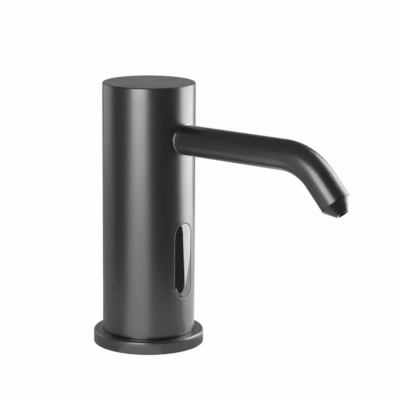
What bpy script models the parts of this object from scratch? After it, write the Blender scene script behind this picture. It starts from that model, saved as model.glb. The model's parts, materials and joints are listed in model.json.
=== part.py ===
"""Deck-mounted automatic soap dispenser, modelled as an assembly of separate pieces.

Metres, +Z up. The origin is on the column's axis in the plane of the deck. The spout and the sensor window
face -Y. Inside the column a motor turns a gear pump, which lifts soap through the spout to a sprung valve.
"""

from math import acos, asin, ceil, cos, pi, radians, sin, sqrt, tan

import bmesh
import bpy
from mathutils import Matrix, Vector

# Clearances
GAP = 0.0003                    # between two pieces that touch
RUN = 0.00015                   # round a shaft that turns
OVERRUN = 0.0010                # how far a cutter runs past what it cuts

# Column
BODY_RADIUS = 0.0210
BODY_WALL = 0.0020
BODY_HEIGHT = 0.1200            # top face above the deck
BODY_CAP = 0.0030
BODY_EDGE = 0.0006              # round on the top edge

# Deck flange
FLANGE_RADIUS = 0.0252
FLANGE_HEIGHT = 0.0060
FLANGE_EDGE = 0.0012            # round on the upper edge
FLOOR = 0.0080                  # thickness inside the spigot
SPIGOT_HEIGHT = 0.0090          # above the flange
SPIGOT_WALL = 0.0028
GASKET_WIDTH = 0.0046
GASKET_THICKNESS = 0.0005
GASKET_INSET = 0.0003
STUD_RADIUS = 0.0025            # tapping size for the M6 studs from below
STUD_DEPTH = 0.0062
STUD_OFFSET = 0.0115
SHELL_ORING = 0.0007            # half the section of the ring
SHELL_ORING_DROP = 0.0022       # below the spigot's top
GRUB_RADIUS = 0.0019
GRUB_HEIGHT = 0.0033            # above the flange
GRUB_DIMPLE = 0.0012
GRUB_RECESS = 0.0004
GRUB_KEY = 0.0011               # hexagon socket, centre to corner

# Spout
SPOUT_DROP = 0.0240             # axis below the column's top
SPOUT_RADIUS = 0.0068
SPOUT_BORE = 0.0046
SPOUT_REACH = 0.0868            # column's axis to where the two straight axes cross
SPOUT_BEND = radians(48)
BEND_RADIUS = 0.0250
DROP = 0.0290                   # crossing of the axes to the tip's face
ROOT_THREAD = 0.0059
ROOT_SPARE = 0.0008             # thread that shows past the lock nut
COLLAR_STEP = 0.0003            # collar's radius over the spout's
COLLAR_THICKNESS = 0.0005
SADDLE_RADIUS = 0.0090
SADDLE_EDGE = 0.0011            # washer's thickness where it is thinnest
NUT_THICKNESS = 0.0035
NUT_CORNER = 0.0090             # centre to corner

# Nozzle, measured up from the tip's face along the drop
CONE = 0.0051
TIP_RADIUS = 0.00295
OUTLET_RADIUS = 0.0015
OUTLET_LENGTH = 0.0018
CHAMBER_RADIUS = 0.0028
TIP_THREAD = 0.0050
TIP_LENGTH = 0.0095
NOZZLE_ORING = 0.00055
NOZZLE_ORING_PLACE = 0.0029     # above the cone's shoulder
ADAPTER_FLANGE = 0.0015
ADAPTER_PLUG = 0.0030           # how far the seat reaches into the chamber
ADAPTER_NIPPLE = 0.0055
POPPET_RADIUS = 0.0022
POPPET_HEAD = 0.0010
POPPET_STEM = 0.0009
POPPET_STEM_LENGTH = 0.0022
SPRING_RADIUS = 0.0019
SPRING_WIRE = 0.00022           # half the wire's diameter
SPRING_TURNS = 3.5

# Hoses
HOSE_RADIUS = 0.0030
HOSE_BORE = 0.0020
NIPPLE_RADIUS = 0.0017
NIPPLE_BORE = 0.0010
NIPPLE_LENGTH = 0.0055
RISER_BEND = 0.0140

# Chassis
FOOT_THICKNESS = 0.0025
SHELF_THICKNESS = 0.0025
CHASSIS_WALL = 0.0015
CHASSIS_CUT = 0.0050            # the tall wall stands behind this Y
CROSS_SLOT = 0.0060             # half the width of the slots between the legs
WALL_WINDOW = 0.0050            # half the width of the opening in the tall wall
WALL_WINDOW_MARGIN = 0.0060
CHASSIS_SCREW_INSET = 0.0008     # head's edge from the foot's edge
CHASSIS_SCREW_RADIUS = 0.0014
CHASSIS_SCREW_DEPTH = 0.0040    # into the floor
CHASSIS_TOP_DROP = 0.0010

# Motor
MOTOR_RADIUS = 0.0100
MOTOR_FLAT = 0.0077             # half the width across its flats
END_CAP = 0.0035
CAN_LENGTH = 0.0155
CAN_WALL = 0.0008
NOSE_RADIUS = 0.0032
NOSE_HEIGHT = 0.0015
SHAFT_RADIUS = 0.0010
BUSH_RADIUS = 0.0022
BUSH_LENGTH = 0.0022
MAGNET_THICKNESS = 0.0021
MAGNET_ANGLE = radians(42)
MAGNET_MARGIN = 0.0034
AIR_GAP = 0.0006
ARMATURE_LENGTH = 0.0080
ARMATURE_HUB = 0.0026
POLE_NECK = 0.0022              # half the width of a wound neck
POLE_SPAN = radians(46)         # half the angle of a pole's shoe
SHOE = 0.0013
COMMUTATOR_RADIUS = 0.0023
COMMUTATOR_LENGTH = 0.0030
BRUSH_THICKNESS = 0.0014
BRUSH_WIDTH = 0.0010
MOTOR_SCREW_PLACE = 0.0056
MOTOR_SCREW_RADIUS = 0.0010

# Gear pump
GEAR_MODULE = 0.00075
GEAR_TEETH = 12
GEAR_WIDTH = 0.0065
GEAR_BACKLASH = 0.00022         # taken off each tooth's thickness at the pitch circle
CENTRE_SPREAD = 0.0001          # centre distance over twice the pitch radius
GEAR_Y = 0.0045
PLATE_THICKNESS = 0.0035
PUMP_GASKET = 0.0006
ROOF = 0.0042
SHAFT_END = 0.0030              # how far shaft and pin reach into the roof
PUMP_SCREW_RADIUS = 0.0011
PUMP_SCREW_INSET = 0.0005       # head's edge from the pump's edge
PUMP_SCREW_ANGLES = (60, 120, 191, -11)
SEAL_RADIUS = 0.0026
SEAL_THICKNESS = 0.0010
CHANNEL_RADIUS = 0.0012
POCKET = 0.0015                 # half the width of the ports beside the mesh
OUTLET_SHIFT = 0.0043           # outlet port from the gears' line
HEX_FLANGE = 0.0045
HEX_HEIGHT = 0.0025
OUTLET_THREAD = 0.0027
OUTLET_THREAD_LENGTH = 0.0026

# Connections in the floor
CONNECTOR_INSET = 0.0017        # flange's edge from the spigot's inside, along X
SUPPLY_INSET = 0.00245          # inlet channel behind the pump's front face
SOCKET_RADIUS = 0.0031          # takes the 6 mm supply hose
SOCKET_WALL = 0.0011
CONNECTOR_FLANGE = 0.0052
CONNECTOR_FLANGE_HEIGHT = 0.0020
SOCKET_SHOULDER = 0.0016        # web above the socket, below the floor's top
RECESS = 0.0008                 # fittings end this far above the deck
GLAND_INSET = 0.0009            # flange's edge from the spigot's inside
GLAND_RADIUS = 0.0030
GLAND_FLANGE = 0.0045
GLAND_FLANGE_HEIGHT = 0.0016
LEAD_RADIUS = 0.0015
MOTOR_LEAD_RADIUS = 0.0009
MOTOR_LEAD_X = -0.0032

# Sensor
WINDOW_Z = 0.04065
WINDOW_WIDTH = 0.0114
WINDOW_HEIGHT = 0.0346
LENS_RECESS = 0.0003
LENS_GASKET = 0.0005            # gasket's thickness where it is thinnest
LENS_FLANGE = 0.0015
SENSOR_WIDTH = 0.0150
SENSOR_HEIGHT = 0.0380
SENSOR_DEPTH = 0.0069
SENSOR_WALL = 0.0013
BOARD_WIDTH = 0.0116
BOARD_HEIGHT = 0.0235
BOARD_THICKNESS = 0.0010
HOLDER_MARGIN = 0.0006          # holder's front behind the lens
DIODE_RADIUS = 0.0016
DIODE_SPACING = 0.0070
DIODE_LENGTH = 0.0031
LAMP_RADIUS = 0.0010
LAMP_LENGTH = 0.0022
BRACKET_THICKNESS = 0.0014
BRACKET_WIDTH = 0.0120
BRACKET_FOOT = 0.0070           # how far the foot reaches forward
BRACKET_LIP = 0.0012
BRACKET_SCREW_X = 0.0038
BRACKET_SCREW_RADIUS = 0.0010
LEAD_HOLE_DEPTH = 0.0041        # lead's hole in front of the housing's back
LEAD_ENTRY = 0.0039             # motor lead's hole above the housing's bottom

# Smoothness
ROUND = 48                      # sides of the column and flange
CHASSIS_SIDES = 32
MEDIUM = 26
SMALL = 14
TINY = 10

# Column, worked out
BORE = BODY_RADIUS - BODY_WALL
SHELL_BOTTOM = FLANGE_HEIGHT + GAP
SPIGOT = BORE - GAP
SPIGOT_INNER = SPIGOT - SPIGOT_WALL
SPIGOT_TOP = FLANGE_HEIGHT + SPIGOT_HEIGHT
ORING_CENTRE = SPIGOT - SHELL_ORING
ORING_Z = SPIGOT_TOP - SHELL_ORING_DROP
GRUB_Z = FLANGE_HEIGHT + GRUB_HEIGHT
SUPPLY_X = SPIGOT_INNER - CONNECTOR_FLANGE - CONNECTOR_INSET
GLAND_X = -(SPIGOT_INNER - GLAND_FLANGE - GLAND_INSET)

# Spout, worked out
SPOUT_Z = BODY_HEIGHT - SPOUT_DROP
DROP_DIRECTION = Vector((0, -cos(SPOUT_BEND), -sin(SPOUT_BEND)))
TIP = Vector((0, -SPOUT_REACH, SPOUT_Z)) + DROP_DIRECTION * DROP
BEND_TANGENT = BEND_RADIUS * tan(SPOUT_BEND / 2)
COLLAR_START = BODY_RADIUS + GAP
SPOUT_START = COLLAR_START + COLLAR_THICKNESS + GAP
SPOUT_END = CONE + GAP
COUNTERBORE = TIP_LENGTH + GAP + ADAPTER_FLANGE + GAP
SEAT = TIP_LENGTH + GAP - ADAPTER_PLUG
NUT_DISTANCE = sqrt(SPIGOT ** 2 - SADDLE_RADIUS ** 2) - SADDLE_EDGE
ROOT_INNER_END = NUT_DISTANCE - NUT_THICKNESS - ROOT_SPARE

# Chassis, worked out
FOOT_BOTTOM = FLOOR + GAP
FOOT_RADIUS = SPIGOT_INNER - GAP
CHASSIS_SCREW_PLACE = (FOOT_RADIUS - 2 * CHASSIS_SCREW_RADIUS - CHASSIS_SCREW_INSET) * cos(pi / 4)
SHELF_BOTTOM = SPIGOT_TOP + GAP
SHELF_TOP = SHELF_BOTTOM + SHELF_THICKNESS
WALL_OUTER = BORE - 2 * GAP
WALL_INNER = WALL_OUTER - CHASSIS_WALL

# Motor and pump, worked out
PITCH_RADIUS = GEAR_MODULE * GEAR_TEETH / 2
HALF_CENTRES = PITCH_RADIUS + CENTRE_SPREAD / 2
GEAR_OUTER = PITCH_RADIUS + GEAR_MODULE
CAVITY_RADIUS = GEAR_OUTER + GAP
MOTOR_BOTTOM = SHELF_TOP + GAP
CAN_BOTTOM = MOTOR_BOTTOM + END_CAP + GAP
CAN_TOP = CAN_BOTTOM + CAN_LENGTH
PLATE_BOTTOM = CAN_TOP + GAP
PLATE_TOP = PLATE_BOTTOM + PLATE_THICKNESS
HOUSING_BOTTOM = PLATE_TOP + GAP + PUMP_GASKET + GAP
CAVITY_TOP = HOUSING_BOTTOM + GEAR_WIDTH + 2 * GAP
HOUSING_TOP = CAVITY_TOP + ROOF
PUMP_RADIUS = WALL_INNER - GAP
PUMP_SCREW_CIRCLE = PUMP_RADIUS - 2 * PUMP_SCREW_RADIUS - PUMP_SCREW_INSET
SHAFT_TOP = CAVITY_TOP + SHAFT_END
ARMATURE_RADIUS = MOTOR_RADIUS - CAN_WALL - GAP - MAGNET_THICKNESS - AIR_GAP
OUTLET_Y = GEAR_Y + OUTLET_SHIFT
CHASSIS_TOP = HOUSING_TOP - CHASSIS_TOP_DROP

# Sensor, worked out
LENS_SEAT = sqrt(SPIGOT ** 2 - (SENSOR_WIDTH / 2) ** 2) - LENS_GASKET - GAP
SENSOR_FRONT = LENS_SEAT - LENS_FLANGE - GAP
SENSOR_BACK = SENSOR_FRONT - SENSOR_DEPTH
BRACKET_FRONT = SENSOR_BACK - GAP
BRACKET_BACK = BRACKET_FRONT - BRACKET_THICKNESS
PUMP_FLAT = BRACKET_BACK - GAP
SENSOR_BOTTOM = WINDOW_Z - SENSOR_HEIGHT / 2
SENSOR_TOP = WINDOW_Z + SENSOR_HEIGHT / 2
MOTOR_LEAD_Z = SENSOR_BOTTOM + LEAD_ENTRY
BOARD_BACK = SENSOR_BACK + SENSOR_WALL + GAP
BOARD_FRONT = BOARD_BACK + BOARD_THICKNESS
BOARD_BOTTOM = WINDOW_Z - BOARD_HEIGHT / 2
LEAD_Y = -(SENSOR_BACK + LEAD_HOLE_DEPTH)
SUPPLY_Y = -(PUMP_FLAT - SUPPLY_INSET)

parts = None
cutters = None


def start_scene():
    """Empties the file and makes the collections for the object and for its cutters."""
    global parts, cutters
    for obj in list(bpy.data.objects):
        bpy.data.objects.remove(obj, do_unlink=True)
    parts = bpy.data.collections.new("soap_dispenser")
    cutters = bpy.data.collections.new("cutters")
    for collection in (parts, cutters):
        bpy.context.scene.collection.children.link(collection)


def finish(name, colour, roughness, metallic=0.0):
    """One Principled material."""
    material = bpy.data.materials.new(name)
    material.use_nodes = True
    shader = material.node_tree.nodes["Principled BSDF"]
    shader.inputs["Base Color"].default_value = (*colour, 1)
    shader.inputs["Roughness"].default_value = roughness
    shader.inputs["Metallic"].default_value = metallic
    material.diffuse_color = (*colour, 1)
    return material


def place(obj, material=None, location=(0, 0, 0), turn=(0, 0, 0), parent=None):
    """Puts a piece in the object's collection, or a cutter in the cutters' if it has no material."""
    obj.location = location
    obj.rotation_euler = turn
    obj.parent = parent
    if material is None:
        cutters.objects.link(obj)
        obj.hide_render = True
        obj.display_type = "WIRE"
    else:
        parts.objects.link(obj)
        obj.data.materials.append(material)
    return obj


def axis_empty(name, location, turn=(0, 0, 0)):
    """An empty whose +Z is a piece's own axis."""
    empty = bpy.data.objects.new(name, None)
    empty.location = location
    empty.rotation_euler = turn
    parts.objects.link(empty)
    return empty


def smooth(mesh):
    """Smooth shading with the corners kept."""
    mesh.shade_smooth()
    mesh.set_sharp_from_angle(angle=radians(35))


def turned(name, profile, sides, material=None, **where):
    """A turned shape. The profile is (radius, height) pairs from the top, down the outside and back up.

    It closes on itself unless both its ends lie on the axis.
    """
    last = len(profile) - 1
    edges = [(i, i + 1) for i in range(last)]
    if profile[0][0] > 0 or profile[last][0] > 0:
        edges.append((last, 0))
    mesh = bpy.data.meshes.new(name)
    mesh.from_pydata([(radius, 0, height) for radius, height in profile], edges, [])
    obj = place(bpy.data.objects.new(name, mesh), material, **where)
    screw = obj.modifiers.new("Turn", "SCREW")
    screw.steps = screw.render_steps = sides
    screw.use_merge_vertices = True
    screw.merge_threshold = 0.000001
    screw.use_smooth_shade = True
    return obj


def torus_profile(centre, height, section, points):
    """The round section of an O-ring, as a profile to turn."""
    angles = [pi / 2 - 2 * pi * i / points for i in range(points)]
    return [(centre + section * cos(a), height + section * sin(a)) for a in angles]


def edge_arc(radius, height, round_radius, steps=3):
    """Profile points of a rounded upper outer edge, from the top face down to the side."""
    angles = [pi / 2 * (1 - i / steps) for i in range(steps + 1)]
    inner, low = radius - round_radius, height - round_radius
    return [(inner + round_radius * cos(a), low + round_radius * sin(a)) for a in angles]


def rod(name, radius, low, high, sides, material=None, top_radius=None, **where):
    """A cylinder, cone or prism along its own Z, between two heights."""
    mesh = bpy.data.meshes.new(name)
    bm = bmesh.new()
    bmesh.ops.create_cone(bm, cap_ends=True, segments=sides, radius1=radius,
                          radius2=radius if top_radius is None else top_radius, depth=high - low)
    bmesh.ops.translate(bm, verts=bm.verts, vec=(0, 0, (low + high) / 2))
    bm.to_mesh(mesh)
    bm.free()
    smooth(mesh)
    return place(bpy.data.objects.new(name, mesh), material, **where)


def block(name, low, high, material=None, **where):
    """A box between two corners."""
    mesh = bpy.data.meshes.new(name)
    bm = bmesh.new()
    bmesh.ops.create_cube(bm, size=1)
    size = [b - a for a, b in zip(low, high)]
    middle = [(a + b) / 2 for a, b in zip(low, high)]
    bmesh.ops.scale(bm, verts=bm.verts, vec=size)
    bmesh.ops.translate(bm, verts=bm.verts, vec=middle)
    bm.to_mesh(mesh)
    bm.free()
    return place(bpy.data.objects.new(name, mesh), material, **where)


def mesh_of(curve, name):
    """The welded mesh of a curve's evaluated shape."""
    guide = bpy.data.objects.new(name, curve)
    cutters.objects.link(guide)
    view = bpy.context.evaluated_depsgraph_get()
    mesh = bpy.data.meshes.new_from_object(guide.evaluated_get(view))
    mesh.name = name
    bpy.data.objects.remove(guide, do_unlink=True)
    bm = bmesh.new()
    bm.from_mesh(mesh)
    bmesh.ops.remove_doubles(bm, verts=bm.verts, dist=0.000001)
    bm.to_mesh(mesh)
    bm.free()
    smooth(mesh)
    return mesh


def plate(name, outlines, low, high, material=None, **where):
    """A flat outline, with the outlines of its holes, filled and thickened between two heights."""
    curve = bpy.data.curves.new(name, "CURVE")
    curve.dimensions = "2D"
    curve.fill_mode = "BOTH"
    curve.extrude = (high - low) / 2
    for outline in outlines:
        spline = curve.splines.new("POLY")
        spline.points.add(len(outline) - 1)
        for point, (x, y) in zip(spline.points, outline):
            point.co = (x, y, 0, 1)
        spline.use_cyclic_u = True
    mesh = mesh_of(curve, name)
    mesh.transform(Matrix.Translation((0, 0, (low + high) / 2)))
    return place(bpy.data.objects.new(name, mesh), material, **where)


def pipe(name, points, radius, resolution, material=None, **where):
    """A round bar or wire along points."""
    curve = bpy.data.curves.new(name, "CURVE")
    curve.dimensions = "3D"
    curve.bevel_depth = radius
    curve.bevel_resolution = resolution
    curve.use_fill_caps = True
    spline = curve.splines.new("POLY")
    spline.points.add(len(points) - 1)
    for point, place_of in zip(spline.points, points):
        point.co = (*place_of, 1)
    return place(bpy.data.objects.new(name, mesh_of(curve, name)), material, **where)


def combine(obj, other, operation):
    """Cuts, joins or intersects a piece with another shape."""
    step = obj.modifiers.new(operation.title(), "BOOLEAN")
    step.operation = operation
    step.object = other
    step.solver = "EXACT"
    return obj


def cut(obj, *others):
    """Takes each cutter out of a piece."""
    for other in others:
        combine(obj, other, "DIFFERENCE")
    return obj


def circle(x, y, radius, sides):
    """A round outline."""
    return [(x + radius * cos(2 * pi * i / sides), y + radius * sin(2 * pi * i / sides)) for i in range(sides)]


def rectangle(width, height):
    """A rectangular outline about its centre."""
    x, y = width / 2, height / 2
    return [(x, y), (-x, y), (-x, -y), (x, -y)]


def stadium(width, height, steps=8):
    """A tall outline with half-round ends, about its centre."""
    radius, straight = width / 2, (height - width) / 2
    upper = [(radius * cos(pi * i / steps), straight + radius * sin(pi * i / steps)) for i in range(steps + 1)]
    return upper + [(-x, -y) for x, y in upper]


def flatted_circle(radius, flat, steps=8):
    """A round outline with two flats that face +Y and -Y."""
    half = asin(flat / radius)
    right = [(radius * cos(a), radius * sin(a)) for a in [half * (2 * i / steps - 1) for i in range(steps + 1)]]
    return right + [(-x, -y) for x, y in right]


def pump_outline(radius, flat, steps=20):
    """A round outline with one flat in front, at -flat."""
    first = -asin(flat / radius)
    span = pi - 2 * first
    return [(radius * cos(first + span * i / steps), radius * sin(first + span * i / steps))
            for i in range(steps + 1)]


FACING_FRONT = (pi / 2, 0, 0)   # turns a shape's +Z to -Y, with its +Y up


def spout_path(start, finish_at):
    """The spout's centre line from a distance before the bend to a distance above the tip's face."""
    bend_start = SPOUT_REACH - BEND_TANGENT
    centre = Vector((0, -bend_start, SPOUT_Z - BEND_RADIUS))
    steps = 9
    points = [Vector((0, -start, SPOUT_Z))]
    for i in range(steps + 1):
        a = SPOUT_BEND * i / steps
        points.append(centre + BEND_RADIUS * Vector((0, -sin(a), cos(a))))
    points.append(TIP - DROP_DIRECTION * finish_at)
    return points


def column_cutter(name, radius):
    """A tall round bar on the column's axis, to shape what fits its curve."""
    return rod(name, radius, -OVERRUN, BODY_HEIGHT + OVERRUN, ROUND)


def make_shell(body):
    """The column: a closed top, an open foot, the window's slot, the spout's hole and the grub's hole."""
    profile = [(0, BODY_HEIGHT), *edge_arc(BODY_RADIUS, BODY_HEIGHT, BODY_EDGE),
               (BODY_RADIUS, SHELL_BOTTOM), (BORE, SHELL_BOTTOM),
               (BORE, BODY_HEIGHT - BODY_CAP), (0, BODY_HEIGHT - BODY_CAP)]
    shell = turned("body_shell", profile, ROUND, body)
    slot = plate("window_cutter", [stadium(WINDOW_WIDTH, WINDOW_HEIGHT)], LENS_SEAT, BODY_RADIUS + OVERRUN,
                 location=(0, 0, WINDOW_Z), turn=FACING_FRONT)
    hole = rod("spout_hole_cutter", ROOT_THREAD + GAP, NUT_DISTANCE, BODY_RADIUS + OVERRUN, MEDIUM,
               location=(0, 0, SPOUT_Z), turn=FACING_FRONT)
    grub = rod("grub_hole_cutter", GRUB_RADIUS + GAP, -BODY_RADIUS - OVERRUN, -SPIGOT, TINY,
               location=(0, 0, GRUB_Z), turn=FACING_FRONT)
    return cut(shell, slot, hole, grub)


def make_base(body):
    """The foot: flange, gasket recess, floor, spigot with its ring groove, and the holes in the floor."""
    recess = FLANGE_RADIUS - GASKET_WIDTH
    groove_low, groove_high = ORING_Z - SHELL_ORING - GAP, ORING_Z + SHELL_ORING + GAP
    groove = ORING_CENTRE - SHELL_ORING - GAP
    seat = GASKET_THICKNESS + GAP
    profile = [(0, FLOOR), (SPIGOT_INNER, FLOOR), (SPIGOT_INNER, SPIGOT_TOP), (SPIGOT, SPIGOT_TOP),
               (SPIGOT, groove_high), (groove, groove_high), (groove, groove_low), (SPIGOT, groove_low),
               (SPIGOT, FLANGE_HEIGHT), *edge_arc(FLANGE_RADIUS, FLANGE_HEIGHT, FLANGE_EDGE),
               (FLANGE_RADIUS, seat), (recess, seat), (recess, 0), (0, 0)]
    base = turned("base_flange", profile, ROUND, body)
    for side in (-1, 1):
        cut(base, rod("stud_cutter", STUD_RADIUS, -OVERRUN, STUD_DEPTH, SMALL,
                      location=(0, side * STUD_OFFSET, 0)))
        cut(base, rod("chassis_screw_hole_cutter", CHASSIS_SCREW_RADIUS + GAP, FLOOR - CHASSIS_SCREW_DEPTH - GAP,
                      FLOOR + OVERRUN, TINY, location=(side * CHASSIS_SCREW_PLACE, side * CHASSIS_SCREW_PLACE, 0)))
    dimple = rod("grub_dimple_cutter", GRUB_RADIUS + GAP, -BODY_RADIUS, GRUB_DIMPLE - SPIGOT, TINY,
                 location=(0, 0, GRUB_Z), turn=FACING_FRONT)
    socket = rod("connector_hole_cutter", SOCKET_RADIUS + SOCKET_WALL + GAP, -OVERRUN, FLOOR + OVERRUN, SMALL,
                 location=(SUPPLY_X, SUPPLY_Y, 0))
    gland = rod("gland_hole_cutter", GLAND_RADIUS + GAP, -OVERRUN, FLOOR + OVERRUN, SMALL,
                location=(GLAND_X, 0, 0))
    return cut(base, dimple, socket, gland)


def make_base_seals(rubber, steel):
    """The deck gasket, the shell's O-ring and the grub screw behind."""
    outer = FLANGE_RADIUS - GASKET_INSET
    inner = FLANGE_RADIUS - GASKET_WIDTH + GAP
    turned("deck_gasket", [(inner, GASKET_THICKNESS), (outer, GASKET_THICKNESS), (outer, 0), (inner, 0)],
           ROUND, rubber)
    turned("shell_oring", torus_profile(ORING_CENTRE, ORING_Z, SHELL_ORING, 6), MEDIUM, rubber)
    tip, face = GRUB_DIMPLE - SPIGOT - GAP, GRUB_RECESS - BODY_RADIUS
    grub = rod("shell_grub_screw", GRUB_RADIUS, face, tip, TINY, steel,
               location=(0, 0, GRUB_Z), turn=FACING_FRONT)
    cut(grub, rod("grub_key_cutter", GRUB_KEY, face - OVERRUN, (face + tip) / 2, 6,
                  location=(0, 0, GRUB_Z), turn=FACING_FRONT))


def make_spout(body):
    """The bent spout, with its threaded root, its bore and the counterbore for the nozzle."""
    spout = pipe("spout_tube", spout_path(NUT_DISTANCE, SPOUT_END), SPOUT_RADIUS, 11, body)
    root = rod("spout_root", ROOT_THREAD, ROOT_INNER_END, SPOUT_START + 2 * OVERRUN, MEDIUM,
               location=(0, 0, SPOUT_Z), turn=FACING_FRONT)
    bore = pipe("spout_bore_cutter", spout_path(ROOT_INNER_END - OVERRUN, -OVERRUN), SPOUT_BORE, 6)
    cut(spout, column_cutter("spout_shoulder_cutter", SPOUT_START))
    combine(spout, root, "UNION")
    cut(spout, bore)
    return cut(spout, rod("counterbore_cutter", TIP_THREAD + GAP, 0, COUNTERBORE, MEDIUM,
                          location=TIP, turn=(SPOUT_BEND - pi / 2, 0, 0)))


def make_spout_fixings(bright, rubber, steel):
    """The collar outside the shell, and the saddle washer and lock nut that clamp the root inside it."""
    hole = ROOT_THREAD + GAP
    facing = dict(location=(0, 0, SPOUT_Z), turn=FACING_FRONT)
    collar = plate("spout_collar", [circle(0, 0, SPOUT_RADIUS + COLLAR_STEP, MEDIUM), circle(0, 0, hole, MEDIUM)],
                   SPIGOT, SPOUT_START + 2 * OVERRUN, bright, **facing)
    cut(collar, column_cutter("collar_inner_cutter", COLLAR_START))
    combine(collar, column_cutter("collar_outer_guide", COLLAR_START + COLLAR_THICKNESS), "INTERSECT")
    saddle = plate("spout_saddle_washer", [circle(0, 0, SADDLE_RADIUS, MEDIUM), circle(0, 0, hole, MEDIUM)],
                   NUT_DISTANCE + GAP, BODY_RADIUS, rubber, **facing)
    combine(saddle, column_cutter("saddle_guide", SPIGOT), "INTERSECT")
    plate("spout_lock_nut", [circle(0, 0, NUT_CORNER, 6), circle(0, 0, hole, MEDIUM)],
          NUT_DISTANCE - NUT_THICKNESS, NUT_DISTANCE, steel, **facing)


def make_nozzle(body, rubber, plastic, steel):
    """The conical tip and the anti-drip valve in it, along the drop's own axis."""
    axis = axis_empty("nozzle_axis", TIP, (SPOUT_BEND - pi / 2, 0, 0))
    ring = CONE + NOZZLE_ORING_PLACE
    ring_centre = TIP_THREAD - NOZZLE_ORING
    groove, half = ring_centre - NOZZLE_ORING - GAP, NOZZLE_ORING + GAP
    turned("nozzle_tip",
           [(CHAMBER_RADIUS, TIP_LENGTH), (TIP_THREAD, TIP_LENGTH), (TIP_THREAD, ring + half),
            (groove, ring + half), (groove, ring - half), (TIP_THREAD, ring - half), (TIP_THREAD, CONE),
            (SPOUT_RADIUS, CONE), (TIP_RADIUS, 0), (OUTLET_RADIUS, 0), (OUTLET_RADIUS, OUTLET_LENGTH),
            (CHAMBER_RADIUS, OUTLET_LENGTH)], MEDIUM, body, parent=axis)
    turned("nozzle_oring", torus_profile(ring_centre, ring, NOZZLE_ORING, 6), SMALL, rubber, parent=axis)
    flange = TIP_LENGTH + GAP
    shoulder = flange + ADAPTER_FLANGE
    end = shoulder + ADAPTER_NIPPLE
    plug = CHAMBER_RADIUS - GAP
    turned("nozzle_adapter",
           [(NIPPLE_BORE, end), (NIPPLE_RADIUS - GAP, end), (NIPPLE_RADIUS, end - GAP),
            (NIPPLE_RADIUS, shoulder), (TIP_THREAD, shoulder), (TIP_THREAD, flange), (plug, flange),
            (plug, SEAT), (NIPPLE_BORE, SEAT)], SMALL, plastic, parent=axis)
    top = SEAT - GAP
    under = top - POPPET_HEAD
    turned("valve_poppet",
           [(0, top), (POPPET_RADIUS - GAP, top), (POPPET_RADIUS, top - GAP), (POPPET_RADIUS, under),
            (POPPET_STEM, under), (POPPET_STEM, under - POPPET_STEM_LENGTH),
            (0, under - POPPET_STEM_LENGTH)], TINY, plastic, parent=axis)
    low = OUTLET_LENGTH + GAP + SPRING_WIRE
    high = under - GAP - SPRING_WIRE
    count = ceil(SPRING_TURNS * 9)
    coil = [(SPRING_RADIUS * cos(2 * pi * SPRING_TURNS * i / count),
             SPRING_RADIUS * sin(2 * pi * SPRING_TURNS * i / count), low + (high - low) * i / count)
            for i in range(count + 1)]
    pipe("valve_spring", coil, SPRING_WIRE, 1, steel, parent=axis)


def make_hoses(silicone):
    """The delivery hose up to the nozzle and the supply hose up to the pump."""
    bottom = HOUSING_TOP + GAP + HEX_HEIGHT + GAP
    centre = Vector((0, OUTLET_Y - RISER_BEND, SPOUT_Z - RISER_BEND))
    rise = [Vector((0, OUTLET_Y, bottom))]
    steps = 8
    for i in range(steps + 1):
        a = pi / 2 * i / steps
        rise.append(centre + RISER_BEND * Vector((0, cos(a), sin(a))))
    outer = rise + spout_path(ROOT_INNER_END, COUNTERBORE)
    inner = [rise[0] - Vector((0, 0, OVERRUN)), *outer[1:-1], TIP - DROP_DIRECTION * (COUNTERBORE - OVERRUN)]
    hose = pipe("delivery_tube", outer, HOSE_RADIUS, 3, silicone)
    cut(hose, pipe("delivery_bore_cutter", inner, HOSE_BORE, 2))
    low = FOOT_BOTTOM + CONNECTOR_FLANGE_HEIGHT + GAP
    high = PLATE_BOTTOM - GAP
    plate("supply_tube", [circle(0, 0, HOSE_RADIUS, TINY), circle(0, 0, HOSE_BORE, 12)], low, high,
          silicone, location=(SUPPLY_X, SUPPLY_Y, 0))


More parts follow.
